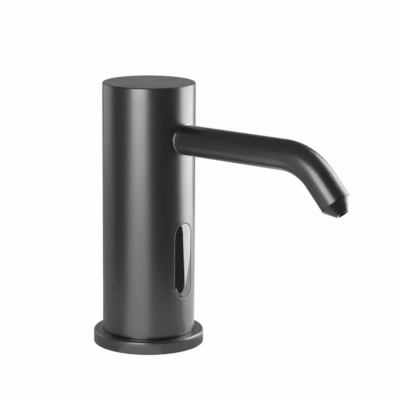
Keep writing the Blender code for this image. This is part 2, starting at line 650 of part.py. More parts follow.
def make_chassis(plastic, steel):
    """The moulded frame on the floor: foot, legs, shelf and the tall wall behind motor and pump."""
    profile = [(0, SHELF_TOP), (WALL_INNER, SHELF_TOP), (WALL_INNER, CHASSIS_TOP), (WALL_OUTER, CHASSIS_TOP),
               (WALL_OUTER, SHELF_BOTTOM), (FOOT_RADIUS, SHELF_BOTTOM), (FOOT_RADIUS, FOOT_BOTTOM),
               (0, FOOT_BOTTOM)]
    chassis = turned("chassis", profile, CHASSIS_SIDES, plastic)
    foot_top = FOOT_BOTTOM + FOOT_THICKNESS
    wide = BODY_RADIUS
    cut(chassis,
        block("leg_slot_cutter", (-wide, -CROSS_SLOT, foot_top), (wide, CROSS_SLOT, SHELF_BOTTOM)),
        block("leg_slot_cutter", (-CROSS_SLOT, -wide, foot_top), (CROSS_SLOT, wide, SHELF_BOTTOM)),
        block("front_cutter", (-wide, -wide, SHELF_TOP), (wide, CHASSIS_CUT, CHASSIS_TOP + OVERRUN)),
        block("wall_window_cutter", (-WALL_WINDOW, CHASSIS_CUT, SHELF_TOP + WALL_WINDOW_MARGIN),
              (WALL_WINDOW, wide, CHASSIS_TOP - WALL_WINDOW_MARGIN)),
        rod("connector_room_cutter", CONNECTOR_FLANGE + GAP, FLOOR, SHELF_BOTTOM, SMALL,
            location=(SUPPLY_X, SUPPLY_Y, 0)),
        rod("hose_hole_cutter", HOSE_RADIUS + GAP, FLOOR, SHELF_TOP + OVERRUN, SMALL,
            location=(SUPPLY_X, SUPPLY_Y, 0)),
        rod("gland_room_cutter", GLAND_FLANGE + GAP, FLOOR, SHELF_BOTTOM, SMALL, location=(GLAND_X, 0, 0)),
        rod("boss_hole_cutter", NOSE_RADIUS + GAP, SHELF_BOTTOM - OVERRUN, SHELF_TOP + OVERRUN, SMALL,
            location=(-HALF_CENTRES, GEAR_Y, 0)),
        rod("lead_hole_cutter", LEAD_RADIUS + 3 * GAP, SHELF_BOTTOM - OVERRUN, SHELF_TOP + OVERRUN, TINY,
            location=(0, LEAD_Y, 0)),
        rod("bracket_screw_hole_cutter", BRACKET_SCREW_RADIUS + GAP, SHELF_BOTTOM - OVERRUN,
            SHELF_TOP + OVERRUN, TINY, location=(BRACKET_SCREW_X, LEAD_Y, 0)))
    head_radius, head = 2 * CHASSIS_SCREW_RADIUS, CHASSIS_SCREW_RADIUS
    top = SHELF_TOP - GAP
    for number, side in ((1, 1), (2, -1)):
        at = (side * CHASSIS_SCREW_PLACE, side * CHASSIS_SCREW_PLACE, 0)
        cut(chassis,
            rod("chassis_screw_way_cutter", CHASSIS_SCREW_RADIUS + GAP, FLOOR, SHELF_TOP, TINY, location=at),
            rod("chassis_screw_head_cutter", head_radius + GAP, top - head - GAP, SHELF_TOP + OVERRUN, TINY,
                location=at))
        turned(f"chassis_screw_{number}",
               [(0, top), (head_radius, top), (head_radius, top - head), (CHASSIS_SCREW_RADIUS, top - head),
                (CHASSIS_SCREW_RADIUS, FLOOR - CHASSIS_SCREW_DEPTH), (0, FLOOR - CHASSIS_SCREW_DEPTH)],
               TINY, steel, location=at)


def make_floor_fittings(plastic, rubber):
    """The push-in connector for the supply hose and the gland for the lead."""
    body = SOCKET_RADIUS + SOCKET_WALL
    flange_top = FOOT_BOTTOM + CONNECTOR_FLANGE_HEIGHT
    end = flange_top + NIPPLE_LENGTH
    shoulder = FLOOR - SOCKET_SHOULDER
    turned("supply_connector",
           [(NIPPLE_BORE, end), (NIPPLE_RADIUS - GAP, end), (NIPPLE_RADIUS, end - GAP),
            (NIPPLE_RADIUS, flange_top), (CONNECTOR_FLANGE, flange_top), (CONNECTOR_FLANGE, FOOT_BOTTOM),
            (body, FOOT_BOTTOM), (body, RECESS), (SOCKET_RADIUS, RECESS), (SOCKET_RADIUS, shoulder),
            (NIPPLE_BORE, shoulder)], SMALL, plastic, location=(SUPPLY_X, SUPPLY_Y, 0))
    gland_top = FOOT_BOTTOM + GLAND_FLANGE_HEIGHT
    bore = LEAD_RADIUS + GAP
    turned("cable_gland",
           [(bore, gland_top), (GLAND_FLANGE, gland_top), (GLAND_FLANGE, FOOT_BOTTOM),
            (GLAND_RADIUS, FOOT_BOTTOM), (GLAND_RADIUS, RECESS), (bore, RECESS)],
           SMALL, rubber, location=(GLAND_X, 0, 0))


def smooth_route(points, steps=3):
    """Points along a smooth curve through the given ones."""
    route = []
    for i in range(len(points) - 1):
        before = Vector(points[max(i - 1, 0)])
        start, end = Vector(points[i]), Vector(points[i + 1])
        after = Vector(points[min(i + 2, len(points) - 1)])
        for k in range(steps):
            t = k / steps
            route.append(0.5 * (2 * start + (end - before) * t
                                + (2 * before - 5 * start + 4 * end - after) * t ** 2
                                + (3 * start - before - 3 * end + after) * t ** 3))
    return route + [Vector(points[-1])]


def make_leads(cable):
    """The lead from the gland to the sensor's board, and the motor's lead from the board."""
    run = (FOOT_BOTTOM + FOOT_THICKNESS + SHELF_BOTTOM) / 2
    gland_top = FOOT_BOTTOM + GLAND_FLANGE_HEIGHT
    sag = LEAD_RADIUS / 6
    turn = CROSS_SLOT - 2 * LEAD_RADIUS
    route = [(GLAND_X, 0, RECESS), (GLAND_X, 0, gland_top), (GLAND_X * 0.86, -turn * 0.1, run - sag),
             (-turn * 1.4, -turn * 0.9, run - sag), (-turn * 0.5, -turn * 1.9, run - sag),
             (-turn * 0.1, LEAD_Y * 0.97, run + LEAD_RADIUS), (0, LEAD_Y, SHELF_BOTTOM + LEAD_RADIUS),
             (0, LEAD_Y, BOARD_BOTTOM - GAP)]
    pipe("control_lead", smooth_route(route), LEAD_RADIUS, 2, cable)
    x, hole = MOTOR_LEAD_X, MOTOR_LEAD_Z
    front = MOTOR_FLAT - GEAR_Y + GAP
    height = MOTOR_BOTTOM + END_CAP / 2
    board = BOARD_BACK + BOARD_THICKNESS / 2
    bend = MOTOR_LEAD_RADIUS
    route = [(x, -front, height), (x, -front - bend, height + bend / 2),
             (x, -BRACKET_BACK + bend / 2, (height + hole) / 2), (x, -BRACKET_FRONT, hole - bend / 4),
             (x, -SENSOR_BACK - SENSOR_WALL, hole + bend / 4), (x, -board, hole + 1.5 * bend),
             (x, -board, BOARD_BOTTOM - GAP)]
    pipe("motor_lead", smooth_route(route), MOTOR_LEAD_RADIUS, 1, cable)


def make_motor(steel, plastic, copper, magnet, bronze):
    """The motor: can, end cap, magnets, bushes, brushes and screws, and the rotor that turns in them."""
    axis = axis_empty("motor_axis", (-HALF_CENTRES, GEAR_Y, 0))
    outline = flatted_circle(MOTOR_RADIUS, MOTOR_FLAT)
    inner = flatted_circle(MOTOR_RADIUS - CAN_WALL, MOTOR_FLAT - CAN_WALL)
    bush_hole = BUSH_RADIUS + GAP
    can = plate("motor_can", [outline], CAN_BOTTOM, CAN_TOP, steel, parent=axis)
    combine(can, rod("motor_nose", NOSE_RADIUS, CAN_TOP - CAN_WALL / 2, CAN_TOP + NOSE_HEIGHT, SMALL,
                     parent=axis), "UNION")
    cut(can, plate("can_cutter", [inner], CAN_BOTTOM - OVERRUN, CAN_TOP - CAN_WALL, parent=axis),
        rod("nose_cutter", bush_hole, CAN_TOP - 2 * CAN_WALL, CAN_TOP + NOSE_HEIGHT + OVERRUN, SMALL,
            parent=axis))
    cap = plate("motor_end_cap", [outline, circle(0, 0, bush_hole, SMALL)], MOTOR_BOTTOM,
                MOTOR_BOTTOM + END_CAP, plastic, parent=axis)
    combine(cap, plate("cap_boss", [circle(0, 0, NOSE_RADIUS, SMALL), circle(0, 0, bush_hole, SMALL)],
                       MOTOR_BOTTOM - NOSE_HEIGHT, MOTOR_BOTTOM + END_CAP / 2, parent=axis), "UNION")
    ring = [circle(0, 0, BUSH_RADIUS, SMALL), circle(0, 0, SHAFT_RADIUS + RUN, TINY)]
    front = CAN_TOP + NOSE_HEIGHT - BUSH_LENGTH - GAP
    plate("front_bush", ring, front, front + BUSH_LENGTH, bronze, parent=axis)
    rear = MOTOR_BOTTOM - NOSE_HEIGHT + GAP
    plate("rear_bush", ring, rear, rear + BUSH_LENGTH, bronze, parent=axis)
    make_magnets(axis, magnet)
    make_rotor(axis, steel, copper)
    middle = COMMUTATOR_RADIUS + GAP
    for number, side in ((1, 1), (2, -1)):
        ends = sorted((side * middle, side * (middle + BRUSH_THICKNESS)))
        block(f"motor_brush_{number}", (-BRUSH_WIDTH, ends[0], CAN_BOTTOM),
              (BRUSH_WIDTH, ends[1], CAN_BOTTOM + GAP + COMMUTATOR_LENGTH), copper, parent=axis)
        at = (0, side * MOTOR_SCREW_PLACE, 0)
        cut(can, rod("motor_screw_hole_cutter", MOTOR_SCREW_RADIUS + GAP, CAN_TOP - 2 * CAN_WALL,
                     CAN_TOP + OVERRUN, TINY, location=at, parent=axis))
        head = PLATE_TOP - GAP
        neck = head - MOTOR_SCREW_RADIUS
        turned(f"motor_screw_{number}",
               [(0, head), (2 * MOTOR_SCREW_RADIUS, head), (2 * MOTOR_SCREW_RADIUS, neck),
                (MOTOR_SCREW_RADIUS, neck), (MOTOR_SCREW_RADIUS, CAN_TOP - 2 * CAN_WALL),
                (0, CAN_TOP - 2 * CAN_WALL)], TINY, steel, location=at, parent=axis)


def make_magnets(axis, magnet):
    """Two curved magnets on the can's round sides."""
    outer = MOTOR_RADIUS - CAN_WALL - GAP
    inner = outer - MAGNET_THICKNESS
    steps = 8
    arc = [MAGNET_ANGLE * (2 * i / steps - 1) for i in range(steps + 1)]
    outline = [(outer * cos(a), outer * sin(a)) for a in arc]
    outline += [(inner * cos(a), inner * sin(a)) for a in reversed(arc)]
    low, high = CAN_BOTTOM + MAGNET_MARGIN, CAN_TOP - CAN_WALL - GAP
    for number in (1, 2):
        plate(f"motor_magnet_{number}", [outline], low, high, magnet, turn=(0, 0, pi * (number - 1)), parent=axis)


def make_rotor(axis, steel, copper):
    """The shaft, the three-pole armature and the commutator."""
    shaft_low = MOTOR_BOTTOM - NOSE_HEIGHT + GAP
    rod("motor_shaft", SHAFT_RADIUS, shaft_low, SHAFT_TOP, TINY, steel, parent=axis)
    outline = []
    shoe_inner = ARMATURE_RADIUS - SHOE
    for pole in range(3):
        middle = 2 * pi * pole / 3
        neck_out = asin(POLE_NECK / shoe_inner)
        neck_in = asin(POLE_NECK / ARMATURE_HUB)
        outline.append(polar(ARMATURE_HUB, middle - neck_in))
        outline.append(polar(shoe_inner, middle - neck_out))
        outline.append(polar(shoe_inner, middle - POLE_SPAN))
        for i in range(7):
            outline.append(polar(ARMATURE_RADIUS, middle + POLE_SPAN * (i / 3 - 1)))
        outline.append(polar(shoe_inner, middle + POLE_SPAN))
        outline.append(polar(shoe_inner, middle + neck_out))
        outline.append(polar(ARMATURE_HUB, middle + neck_in))
    middle = (CAN_BOTTOM + MAGNET_MARGIN + CAN_TOP) / 2
    hole = circle(0, 0, SHAFT_RADIUS + RUN, TINY)
    plate("armature", [outline, hole], middle - ARMATURE_LENGTH / 2, middle + ARMATURE_LENGTH / 2, copper,
          parent=axis)
    plate("commutator", [circle(0, 0, COMMUTATOR_RADIUS, SMALL), hole], CAN_BOTTOM + GAP,
          CAN_BOTTOM + GAP + COMMUTATOR_LENGTH, copper, parent=axis)


def polar(radius, angle):
    """A point of an outline from its radius and angle."""
    return radius * cos(angle), radius * sin(angle)


def gear_outline(shift):
    """The outline of a spur gear with involute flanks, turned by a share of one tooth's pitch."""
    pressure = radians(20)
    base = PITCH_RADIUS * cos(pressure)
    root = PITCH_RADIUS - 1.25 * GEAR_MODULE
    half = (pi * GEAR_MODULE / 2 - GEAR_BACKLASH) / 2 / PITCH_RADIUS + tan(pressure) - pressure
    steps = 3
    flank = []
    for i in range(steps + 1):
        radius = base + (GEAR_OUTER - base) * i / steps
        roll = acos(base / radius)
        flank.append((radius, half - tan(roll) + roll))
    outline = []
    for tooth in range(GEAR_TEETH):
        middle = 2 * pi * (tooth + shift) / GEAR_TEETH
        outline.append(polar(root, middle - half))
        outline += [polar(radius, middle - angle) for radius, angle in flank]
        outline += [polar(radius, middle + angle) for radius, angle in reversed(flank)]
        outline.append(polar(root, middle + half))
    return outline


def make_gears(brass, steel):
    """The two gears in mesh, and the pin that the driven one turns on."""
    low = HOUSING_BOTTOM + GAP
    high = low + GEAR_WIDTH
    plate("drive_gear", [gear_outline(0), circle(0, 0, SHAFT_RADIUS + RUN, TINY)], low, high, brass,
          location=(-HALF_CENTRES, GEAR_Y, 0))
    plate("driven_gear", [gear_outline(0.5), circle(0, 0, SHAFT_RADIUS + RUN, TINY)], low, high, brass,
          location=(HALF_CENTRES, GEAR_Y, 0))
    rod("driven_gear_pin", SHAFT_RADIUS, PLATE_BOTTOM + PLATE_THICKNESS / 3, SHAFT_TOP, TINY, steel,
        location=(HALF_CENTRES, GEAR_Y, 0))


def pump_screw_places():
    """Where the four screws hold the pump together."""
    return [polar(PUMP_SCREW_CIRCLE, radians(angle)) for angle in PUMP_SCREW_ANGLES]


def pump_slice(name, low, high, material):
    """One layer of the pump's case, with the ways for its screws."""
    layer = plate(name, [pump_outline(PUMP_RADIUS, PUMP_FLAT)], low, high, material)
    for x, y in pump_screw_places():
        cut(layer, rod("pump_screw_way_cutter", PUMP_SCREW_RADIUS + GAP, low - OVERRUN, high + OVERRUN, TINY,
                       location=(x, y, 0)))
    return layer


def make_pump(plastic, rubber, steel):
    """The pump's case: plate with the inlet nipple, gasket, housing with its ports, and what seals it."""
    base = pump_slice("pump_plate", PLATE_BOTTOM, PLATE_TOP, plastic)
    combine(base, rod("inlet_nipple", NIPPLE_RADIUS, PLATE_BOTTOM - NIPPLE_LENGTH,
                      PLATE_BOTTOM + PLATE_THICKNESS / 2, SMALL, location=(SUPPLY_X, SUPPLY_Y, 0)), "UNION")
    seal_floor = PLATE_TOP - SEAL_THICKNESS - GAP
    cut(base,
        rod("shaft_way_cutter", SHAFT_RADIUS + RUN, PLATE_BOTTOM - OVERRUN, PLATE_TOP + OVERRUN, TINY,
            location=(-HALF_CENTRES, GEAR_Y, 0)),
        rod("inlet_cutter", NIPPLE_BORE, PLATE_BOTTOM - NIPPLE_LENGTH - OVERRUN, PLATE_TOP + OVERRUN, 12,
            location=(SUPPLY_X, SUPPLY_Y, 0)),
        rod("nose_room_cutter", NOSE_RADIUS + GAP, PLATE_BOTTOM - OVERRUN, CAN_TOP + NOSE_HEIGHT + GAP, SMALL,
            location=(-HALF_CENTRES, GEAR_Y, 0)),
        rod("seal_pocket_cutter", SEAL_RADIUS + GAP, seal_floor, PLATE_TOP + OVERRUN, SMALL,
            location=(-HALF_CENTRES, GEAR_Y, 0)),
        rod("pin_hole_cutter", SHAFT_RADIUS + GAP, PLATE_BOTTOM + PLATE_THICKNESS / 3 - GAP,
            PLATE_TOP + OVERRUN, TINY, location=(HALF_CENTRES, GEAR_Y, 0)))
    for side in (-1, 1):
        at = (-HALF_CENTRES, GEAR_Y + side * MOTOR_SCREW_PLACE, 0)
        cut(base,
            rod("motor_screw_way_cutter", MOTOR_SCREW_RADIUS + GAP, PLATE_BOTTOM - OVERRUN, PLATE_TOP, TINY,
                location=at),
            rod("motor_screw_head_cutter", 2 * MOTOR_SCREW_RADIUS + GAP, PLATE_TOP - MOTOR_SCREW_RADIUS - 2 * GAP,
                PLATE_TOP + OVERRUN, TINY, location=at))
    plate("shaft_seal", [circle(0, 0, SEAL_RADIUS, SMALL), circle(0, 0, SHAFT_RADIUS + RUN, TINY)],
          seal_floor + GAP, seal_floor + GAP + SEAL_THICKNESS - GAP, rubber, location=(-HALF_CENTRES, GEAR_Y, 0))
    low, high = PLATE_TOP + GAP, PLATE_TOP + GAP + PUMP_GASKET
    gasket = pump_slice("pump_gasket", low, high, rubber)
    for x, y in ((-HALF_CENTRES, GEAR_Y), (HALF_CENTRES, GEAR_Y), (SUPPLY_X, SUPPLY_Y)):
        cut(gasket, rod("gasket_hole_cutter", SHAFT_RADIUS + GAP, low - OVERRUN, high + OVERRUN, TINY,
                        location=(x, y, 0)))
    make_pump_housing(plastic)
    for number, (x, y) in enumerate(pump_screw_places(), 1):
        head = HOUSING_TOP + GAP
        turned(f"pump_screw_{number}",
               [(0, head + 2 * PUMP_SCREW_RADIUS), (2 * PUMP_SCREW_RADIUS, head + 2 * PUMP_SCREW_RADIUS),
                (2 * PUMP_SCREW_RADIUS, head), (PUMP_SCREW_RADIUS, head), (PUMP_SCREW_RADIUS, PLATE_BOTTOM + GAP),
                (0, PLATE_BOTTOM + GAP)], TINY, steel, location=(x, y, 0))


def make_pump_housing(plastic):
    """The upper case: two gear pockets, inlet and outlet ports beside the mesh, and the outlet's thread."""
    housing = pump_slice("pump_housing", HOUSING_BOTTOM, HOUSING_TOP, plastic)
    low = HOUSING_BOTTOM - OVERRUN
    channel = HOUSING_BOTTOM + GEAR_WIDTH / 2
    thread_floor = HOUSING_TOP - OUTLET_THREAD_LENGTH - GAP
    for side in (-1, 1):
        at = (side * HALF_CENTRES, GEAR_Y, 0)
        hole = SHAFT_RADIUS + (RUN if side < 0 else GAP)
        cut(housing, rod("gear_pocket_cutter", CAVITY_RADIUS, low, CAVITY_TOP, MEDIUM, location=at),
            rod("shaft_end_cutter", hole, CAVITY_TOP - OVERRUN, SHAFT_TOP + GAP, TINY, location=at))
    cut(housing,
        block("inlet_port_cutter", (-POCKET, SUPPLY_Y - CHANNEL_RADIUS, low),
              (POCKET, GEAR_Y - POCKET, CAVITY_TOP - GAP)),
        block("outlet_port_cutter", (-POCKET, GEAR_Y + POCKET, low), (POCKET, OUTLET_Y + POCKET, CAVITY_TOP - GAP)),
        rod("inlet_rise_cutter", CHANNEL_RADIUS + GAP, low, channel + CHANNEL_RADIUS + GAP, 12,
            location=(SUPPLY_X, SUPPLY_Y, 0)),
        rod("inlet_channel_cutter", CHANNEL_RADIUS, 0, SUPPLY_X, 12,
            location=(0, SUPPLY_Y, channel), turn=(0, pi / 2, 0)),
        rod("outlet_rise_cutter", CHANNEL_RADIUS, CAVITY_TOP - OVERRUN, HOUSING_TOP, 12,
            location=(0, OUTLET_Y, 0)),
        rod("outlet_thread_cutter", OUTLET_THREAD + GAP, thread_floor, HOUSING_TOP + OVERRUN, SMALL,
            location=(0, OUTLET_Y, 0)))


def make_outlet_barb(brass):
    """The hexagonal fitting on the pump, with the nipple for the delivery hose."""
    seat = HOUSING_TOP + GAP
    shoulder = seat + HEX_HEIGHT
    end = shoulder + NIPPLE_LENGTH
    foot = HOUSING_TOP - OUTLET_THREAD_LENGTH
    barb = turned("outlet_barb",
                  [(0, end), (NIPPLE_RADIUS - GAP, end), (NIPPLE_RADIUS, end - GAP),
                   (NIPPLE_RADIUS, seat + HEX_HEIGHT / 2), (OUTLET_THREAD, seat + HEX_HEIGHT / 2),
                   (OUTLET_THREAD, foot), (0, foot)], SMALL, brass, location=(0, OUTLET_Y, 0))
    combine(barb, rod("barb_hexagon", HEX_FLANGE, seat, shoulder, 6, location=(0, OUTLET_Y, 0)), "UNION")
    cut(barb, rod("barb_bore_cutter", NIPPLE_BORE, foot - OVERRUN, end + OVERRUN, 12,
                  location=(0, OUTLET_Y, 0)))


def make_lens(glass, rubber):
    """The dark pane that fills the window, and the gasket between its flange and the shell."""
    facing = dict(location=(0, 0, WINDOW_Z), turn=FACING_FRONT)
    lens = plate("sensor_lens", [stadium(WINDOW_WIDTH - 2 * GAP, WINDOW_HEIGHT - 2 * GAP)],
                 LENS_SEAT - LENS_FLANGE / 2, BODY_RADIUS + OVERRUN, glass, **facing)
    combine(lens, column_cutter("lens_face_guide", BODY_RADIUS - LENS_RECESS), "INTERSECT")
    combine(lens, plate("lens_flange", [stadium(SENSOR_WIDTH, SENSOR_HEIGHT)], LENS_SEAT - LENS_FLANGE,
                        LENS_SEAT, **facing), "UNION")
    gasket = plate("lens_gasket", [stadium(SENSOR_WIDTH, SENSOR_HEIGHT), stadium(WINDOW_WIDTH, WINDOW_HEIGHT)],
                   LENS_SEAT + GAP, BODY_RADIUS + OVERRUN, rubber, **facing)
    combine(gasket, column_cutter("gasket_guide", SPIGOT), "INTERSECT")


def make_sensor(plastic, board, diode, lamp):
    """The sensor's housing with its board, its holder and the three components that look out."""
    facing = dict(location=(0, 0, WINDOW_Z), turn=FACING_FRONT)
    inner = (SENSOR_WIDTH - 2 * SENSOR_WALL, SENSOR_HEIGHT - 2 * SENSOR_WALL)
    housing = plate("sensor_housing", [stadium(SENSOR_WIDTH, SENSOR_HEIGHT)], SENSOR_BACK, SENSOR_FRONT,
                    plastic, **facing)
    cut(housing,
        plate("housing_cutter", [stadium(*inner)], SENSOR_BACK + SENSOR_WALL, SENSOR_FRONT + OVERRUN, **facing),
        rod("lead_entry_cutter", LEAD_RADIUS + GAP, SENSOR_BOTTOM - OVERRUN, SENSOR_BOTTOM + 3 * SENSOR_WALL,
            TINY, location=(0, LEAD_Y, 0)),
        rod("motor_lead_entry_cutter", MOTOR_LEAD_RADIUS + 3 * GAP, SENSOR_BACK - OVERRUN,
            SENSOR_BACK + SENSOR_WALL + OVERRUN, TINY,
            location=(MOTOR_LEAD_X, 0, MOTOR_LEAD_Z), turn=FACING_FRONT))
    plate("sensor_board", [rectangle(BOARD_WIDTH, BOARD_HEIGHT)], BOARD_BACK, BOARD_FRONT, board, **facing)
    holder_front = SENSOR_FRONT + GAP - HOLDER_MARGIN
    seat = BOARD_FRONT + GAP
    bores = [circle(0, side * DIODE_SPACING, DIODE_RADIUS + GAP, TINY) for side in (-1, 1)]
    bores.append(circle(0, 0, LAMP_RADIUS + GAP, TINY))
    plate("sensor_holder", [rectangle(BOARD_WIDTH, BOARD_HEIGHT), *bores], seat, holder_front, plastic, **facing)
    for name, side, radius, length, material in (
            ("ir_emitter", 1, DIODE_RADIUS, DIODE_LENGTH, diode),
            ("ir_receiver", -1, DIODE_RADIUS, DIODE_LENGTH, diode),
            ("indicator_led", 0, LAMP_RADIUS, LAMP_LENGTH, lamp)):
        top = seat + length
        dome = [(radius * cos(a), top - radius + radius * sin(a)) for a in (pi / 3, pi / 6, 0)]
        turned(name, [(0, top), *dome, (radius, seat), (0, seat)], TINY, material,
               location=(0, 0, WINDOW_Z + side * DIODE_SPACING), turn=FACING_FRONT)


def make_bracket(steel):
    """The pressed bracket that stands on the shelf and holds the sensor's housing against the window."""
    half = BRACKET_WIDTH / 2
    foot_low, foot_high = SHELF_TOP + GAP, SENSOR_BOTTOM - GAP
    lip_low = SENSOR_TOP + GAP
    lip_high = lip_low + BRACKET_LIP
    front = BRACKET_FRONT + BRACKET_FOOT
    x, hole = MOTOR_LEAD_X, MOTOR_LEAD_Z
    window = MOTOR_LEAD_RADIUS * 2
    profile = [(-BRACKET_BACK, lip_high), (-BRACKET_BACK, foot_low), (-front, foot_low), (-front, foot_high),
               (-BRACKET_FRONT, foot_high), (-BRACKET_FRONT, lip_low), (-front, lip_low), (-front, lip_high)]
    bracket = plate("sensor_bracket", [profile], -half, half, steel, turn=(pi / 2, 0, pi / 2))
    cut(bracket,
        rod("bracket_lead_cutter", LEAD_RADIUS + 2 * GAP, foot_low - OVERRUN, foot_high + OVERRUN, TINY,
            location=(0, LEAD_Y, 0)),
        rod("bracket_thread_cutter", BRACKET_SCREW_RADIUS + GAP, foot_low - OVERRUN,
            foot_high + OVERRUN, TINY, location=(BRACKET_SCREW_X, LEAD_Y, 0)),
        block("bracket_window_cutter", (x - window, -BRACKET_FRONT - GAP, hole - 3 * window),
              (x + window, -BRACKET_BACK + GAP, hole + window)))
    top = SHELF_BOTTOM - GAP
    turned("bracket_screw",
           [(0, foot_high - GAP), (BRACKET_SCREW_RADIUS, foot_high - GAP), (BRACKET_SCREW_RADIUS, top),
            (1.9 * BRACKET_SCREW_RADIUS, top), (1.9 * BRACKET_SCREW_RADIUS, top - 1.3 * BRACKET_SCREW_RADIUS),
            (0, top - 1.3 * BRACKET_SCREW_RADIUS)], TINY, steel, location=(BRACKET_SCREW_X, LEAD_Y, 0))


def build():
    """Makes every piece."""
    start_scene()
    coat = finish("gunmetal_coat", (0.13, 0.13, 0.135), 0.34, 0.9)
    rim = finish("collar_metal", (0.36, 0.36, 0.37), 0.3, 1.0)
    rubber = finish("black_rubber", (0.02, 0.02, 0.02), 0.7)
    silicone = finish("clear_silicone", (0.75, 0.77, 0.76), 0.4)
    white = finish("white_acetal", (0.72, 0.72, 0.70), 0.45)
    black = finish("black_plastic", (0.03, 0.03, 0.032), 0.5)
    glass = finish("smoked_lens", (0.012, 0.012, 0.014), 0.06)
    steel = finish("plain_steel", (0.56, 0.56, 0.57), 0.3, 1.0)
    brass = finish("brass", (0.71, 0.52, 0.24), 0.3, 1.0)
    bronze = finish("sintered_bronze", (0.52, 0.36, 0.20), 0.5, 1.0)
    copper = finish("wound_copper", (0.62, 0.30, 0.16), 0.35, 1.0)
    magnet = finish("ferrite", (0.07, 0.07, 0.075), 0.6)
    green = finish("circuit_board", (0.02, 0.16, 0.07), 0.5)
    diode = finish("infrared_diode", (0.04, 0.03, 0.06), 0.15)
    lamp = finish("red_lamp", (0.6, 0.03, 0.02), 0.2)
    cable = finish("cable_jacket", (0.025, 0.025, 0.027), 0.6)
    make_shell(coat)
    make_base(coat)
    make_base_seals(rubber, steel)
    make_spout(coat)
    make_spout_fixings(rim, rubber, steel)
    make_nozzle(coat, rubber, white, steel)
    make_hoses(silicone)
    make_chassis(white, steel)
    make_floor_fittings(black, rubber)
    make_leads(cable)
    make_motor(steel, white, copper, magnet, bronze)
    make_gears(brass, steel)
    make_pump(white, rubber, steel)
    make_outlet_barb(brass)
    make_lens(glass, rubber)
    make_sensor(black, green, diode, lamp)
    make_bracket(steel)


build()
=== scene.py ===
"""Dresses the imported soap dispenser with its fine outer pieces, finishes, studio and camera.

Metres, in the frame of the model: +Z up the column, spout and window towards -Y.
"""

import json
from math import atan2, cos, pi, radians, sin, sqrt, tan

import bmesh
import bpy
from mathutils import Matrix, Vector

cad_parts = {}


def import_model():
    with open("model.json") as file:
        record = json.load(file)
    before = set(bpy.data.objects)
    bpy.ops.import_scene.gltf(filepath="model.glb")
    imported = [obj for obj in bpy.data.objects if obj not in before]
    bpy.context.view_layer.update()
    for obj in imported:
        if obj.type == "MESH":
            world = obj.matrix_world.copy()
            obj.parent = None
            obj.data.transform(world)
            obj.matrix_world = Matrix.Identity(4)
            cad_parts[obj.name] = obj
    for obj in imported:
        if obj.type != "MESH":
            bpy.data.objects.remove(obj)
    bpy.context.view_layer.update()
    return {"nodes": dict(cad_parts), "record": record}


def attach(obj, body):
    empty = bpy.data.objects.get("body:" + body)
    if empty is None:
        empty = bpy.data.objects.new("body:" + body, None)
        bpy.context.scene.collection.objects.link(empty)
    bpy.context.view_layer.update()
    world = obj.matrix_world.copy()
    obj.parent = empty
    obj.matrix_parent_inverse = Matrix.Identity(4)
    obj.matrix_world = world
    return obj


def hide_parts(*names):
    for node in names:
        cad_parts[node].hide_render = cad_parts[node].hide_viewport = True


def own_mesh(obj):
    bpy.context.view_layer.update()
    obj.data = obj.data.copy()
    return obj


# Column. A round thing is given by its radius, and heights are over the deck.
COLUMN = 0.0210
COLUMN_WALL = 0.0020
COLUMN_TOP = 0.1200
COLUMN_CAP = 0.0030             # thickness of its cap
COLUMN_EDGE = 0.0006            # rounding of the cap's rim
COLUMN_FOOT = 0.00605           # the tube's lower end
SPOUT_Z = 0.0960                # the spout's axis
SPOUT_HOLE = 0.0062             # hole for it in the wall, and in the collar
HOLE_INSIDE = 0.0170            # where the cutters of the wall's holes start
HOLE_LENGTH = 0.0060
BEVEL = 0.0002                  # small bevels, here and on other pieces
FINE_BEVEL = 0.0001             # the finest ones

# Foot
FOOT = 0.0252
FOOT_TOP = 0.0060
FOOT_EDGE = 0.0012              # rounding of its upper edge
FOOT_SEAT = 0.0008              # underside of the rim, over the gasket
FOOT_SKIRT = 0.02497            # inside of the thin skirt that hides the gasket
FOOT_DISC = 0.0206              # disc inside the gasket
FLOOR_TOP = 0.0080
SPIGOT = 0.0187
SPIGOT_INNER = 0.0159
SPIGOT_TOP = 0.0150
SPIGOT_CHAMFER = 0.0004
GROOVE_TOP = 0.0138             # groove for the sealing ring
GROOVE_BOTTOM = 0.0118
GROOVE_DEPTH = 0.0017
STUD_HOLE = 0.0025
STUD_MOUTH = 0.0005             # chamfer of its edge
STUD_DEPTH = 0.0062
STUD_OFFSET = 0.0115
SCREW_HOLE = 0.0017
SCREW_OFFSET = 0.008485         # along X and along Y
SCREW_END = 0.0037              # bottom of the hole
SUPPLY = Vector((0.0090, -0.00318, 0))
SUPPLY_HOLE = 0.0045
GLAND = Vector((-0.0105, 0, 0))
GLAND_HOLE = 0.0033
HOLE_MOUTH = 0.0003             # chamfer of these two
UNDER = -0.0010                 # cutters of the floor's holes start below it and end above it
OVER = 0.0090
GASKET_TOP = 0.0005
GASKET_GAP = 0.0003             # from the disc, and from the rim's edge

# Grub screw behind the foot
GRUB = 0.0019
GRUB_Z = 0.0093
GRUB_LENGTH = 0.0032
GRUB_CHAMFER = 0.0005
GRUB_SUNK = 0.0004              # its outer end under the column's surface
GRUB_HOLE = 0.0022
GRUB_SEAT = 0.0175              # bottom of its hole in the spigot
GRUB_SEAT_LENGTH = 0.0030
KEY = 0.00115                   # corners of the cutter for its hexagon hole, at the wide end
KEY_END = 0.00105
KEY_DEPTH = 0.0018

# Window
WINDOW_Z = 0.04065
WINDOW_END = 0.0057             # radius of its round ends
WINDOW_STRAIGHT = 0.0232
WINDOW_ROUND = 0.00025          # rounding of its rim
BAND = 0.0011                   # width of the band of fine faces round it
BAND_ROW = 0.0006               # where the band's inner row starts
LENS_GAP = 0.00015              # between the lens and the window's rim
LENS_RECESS = 0.0001            # the lens's face under the column's surface
LENS_ROUND = 0.0002
LENS_BACK = 0.0021

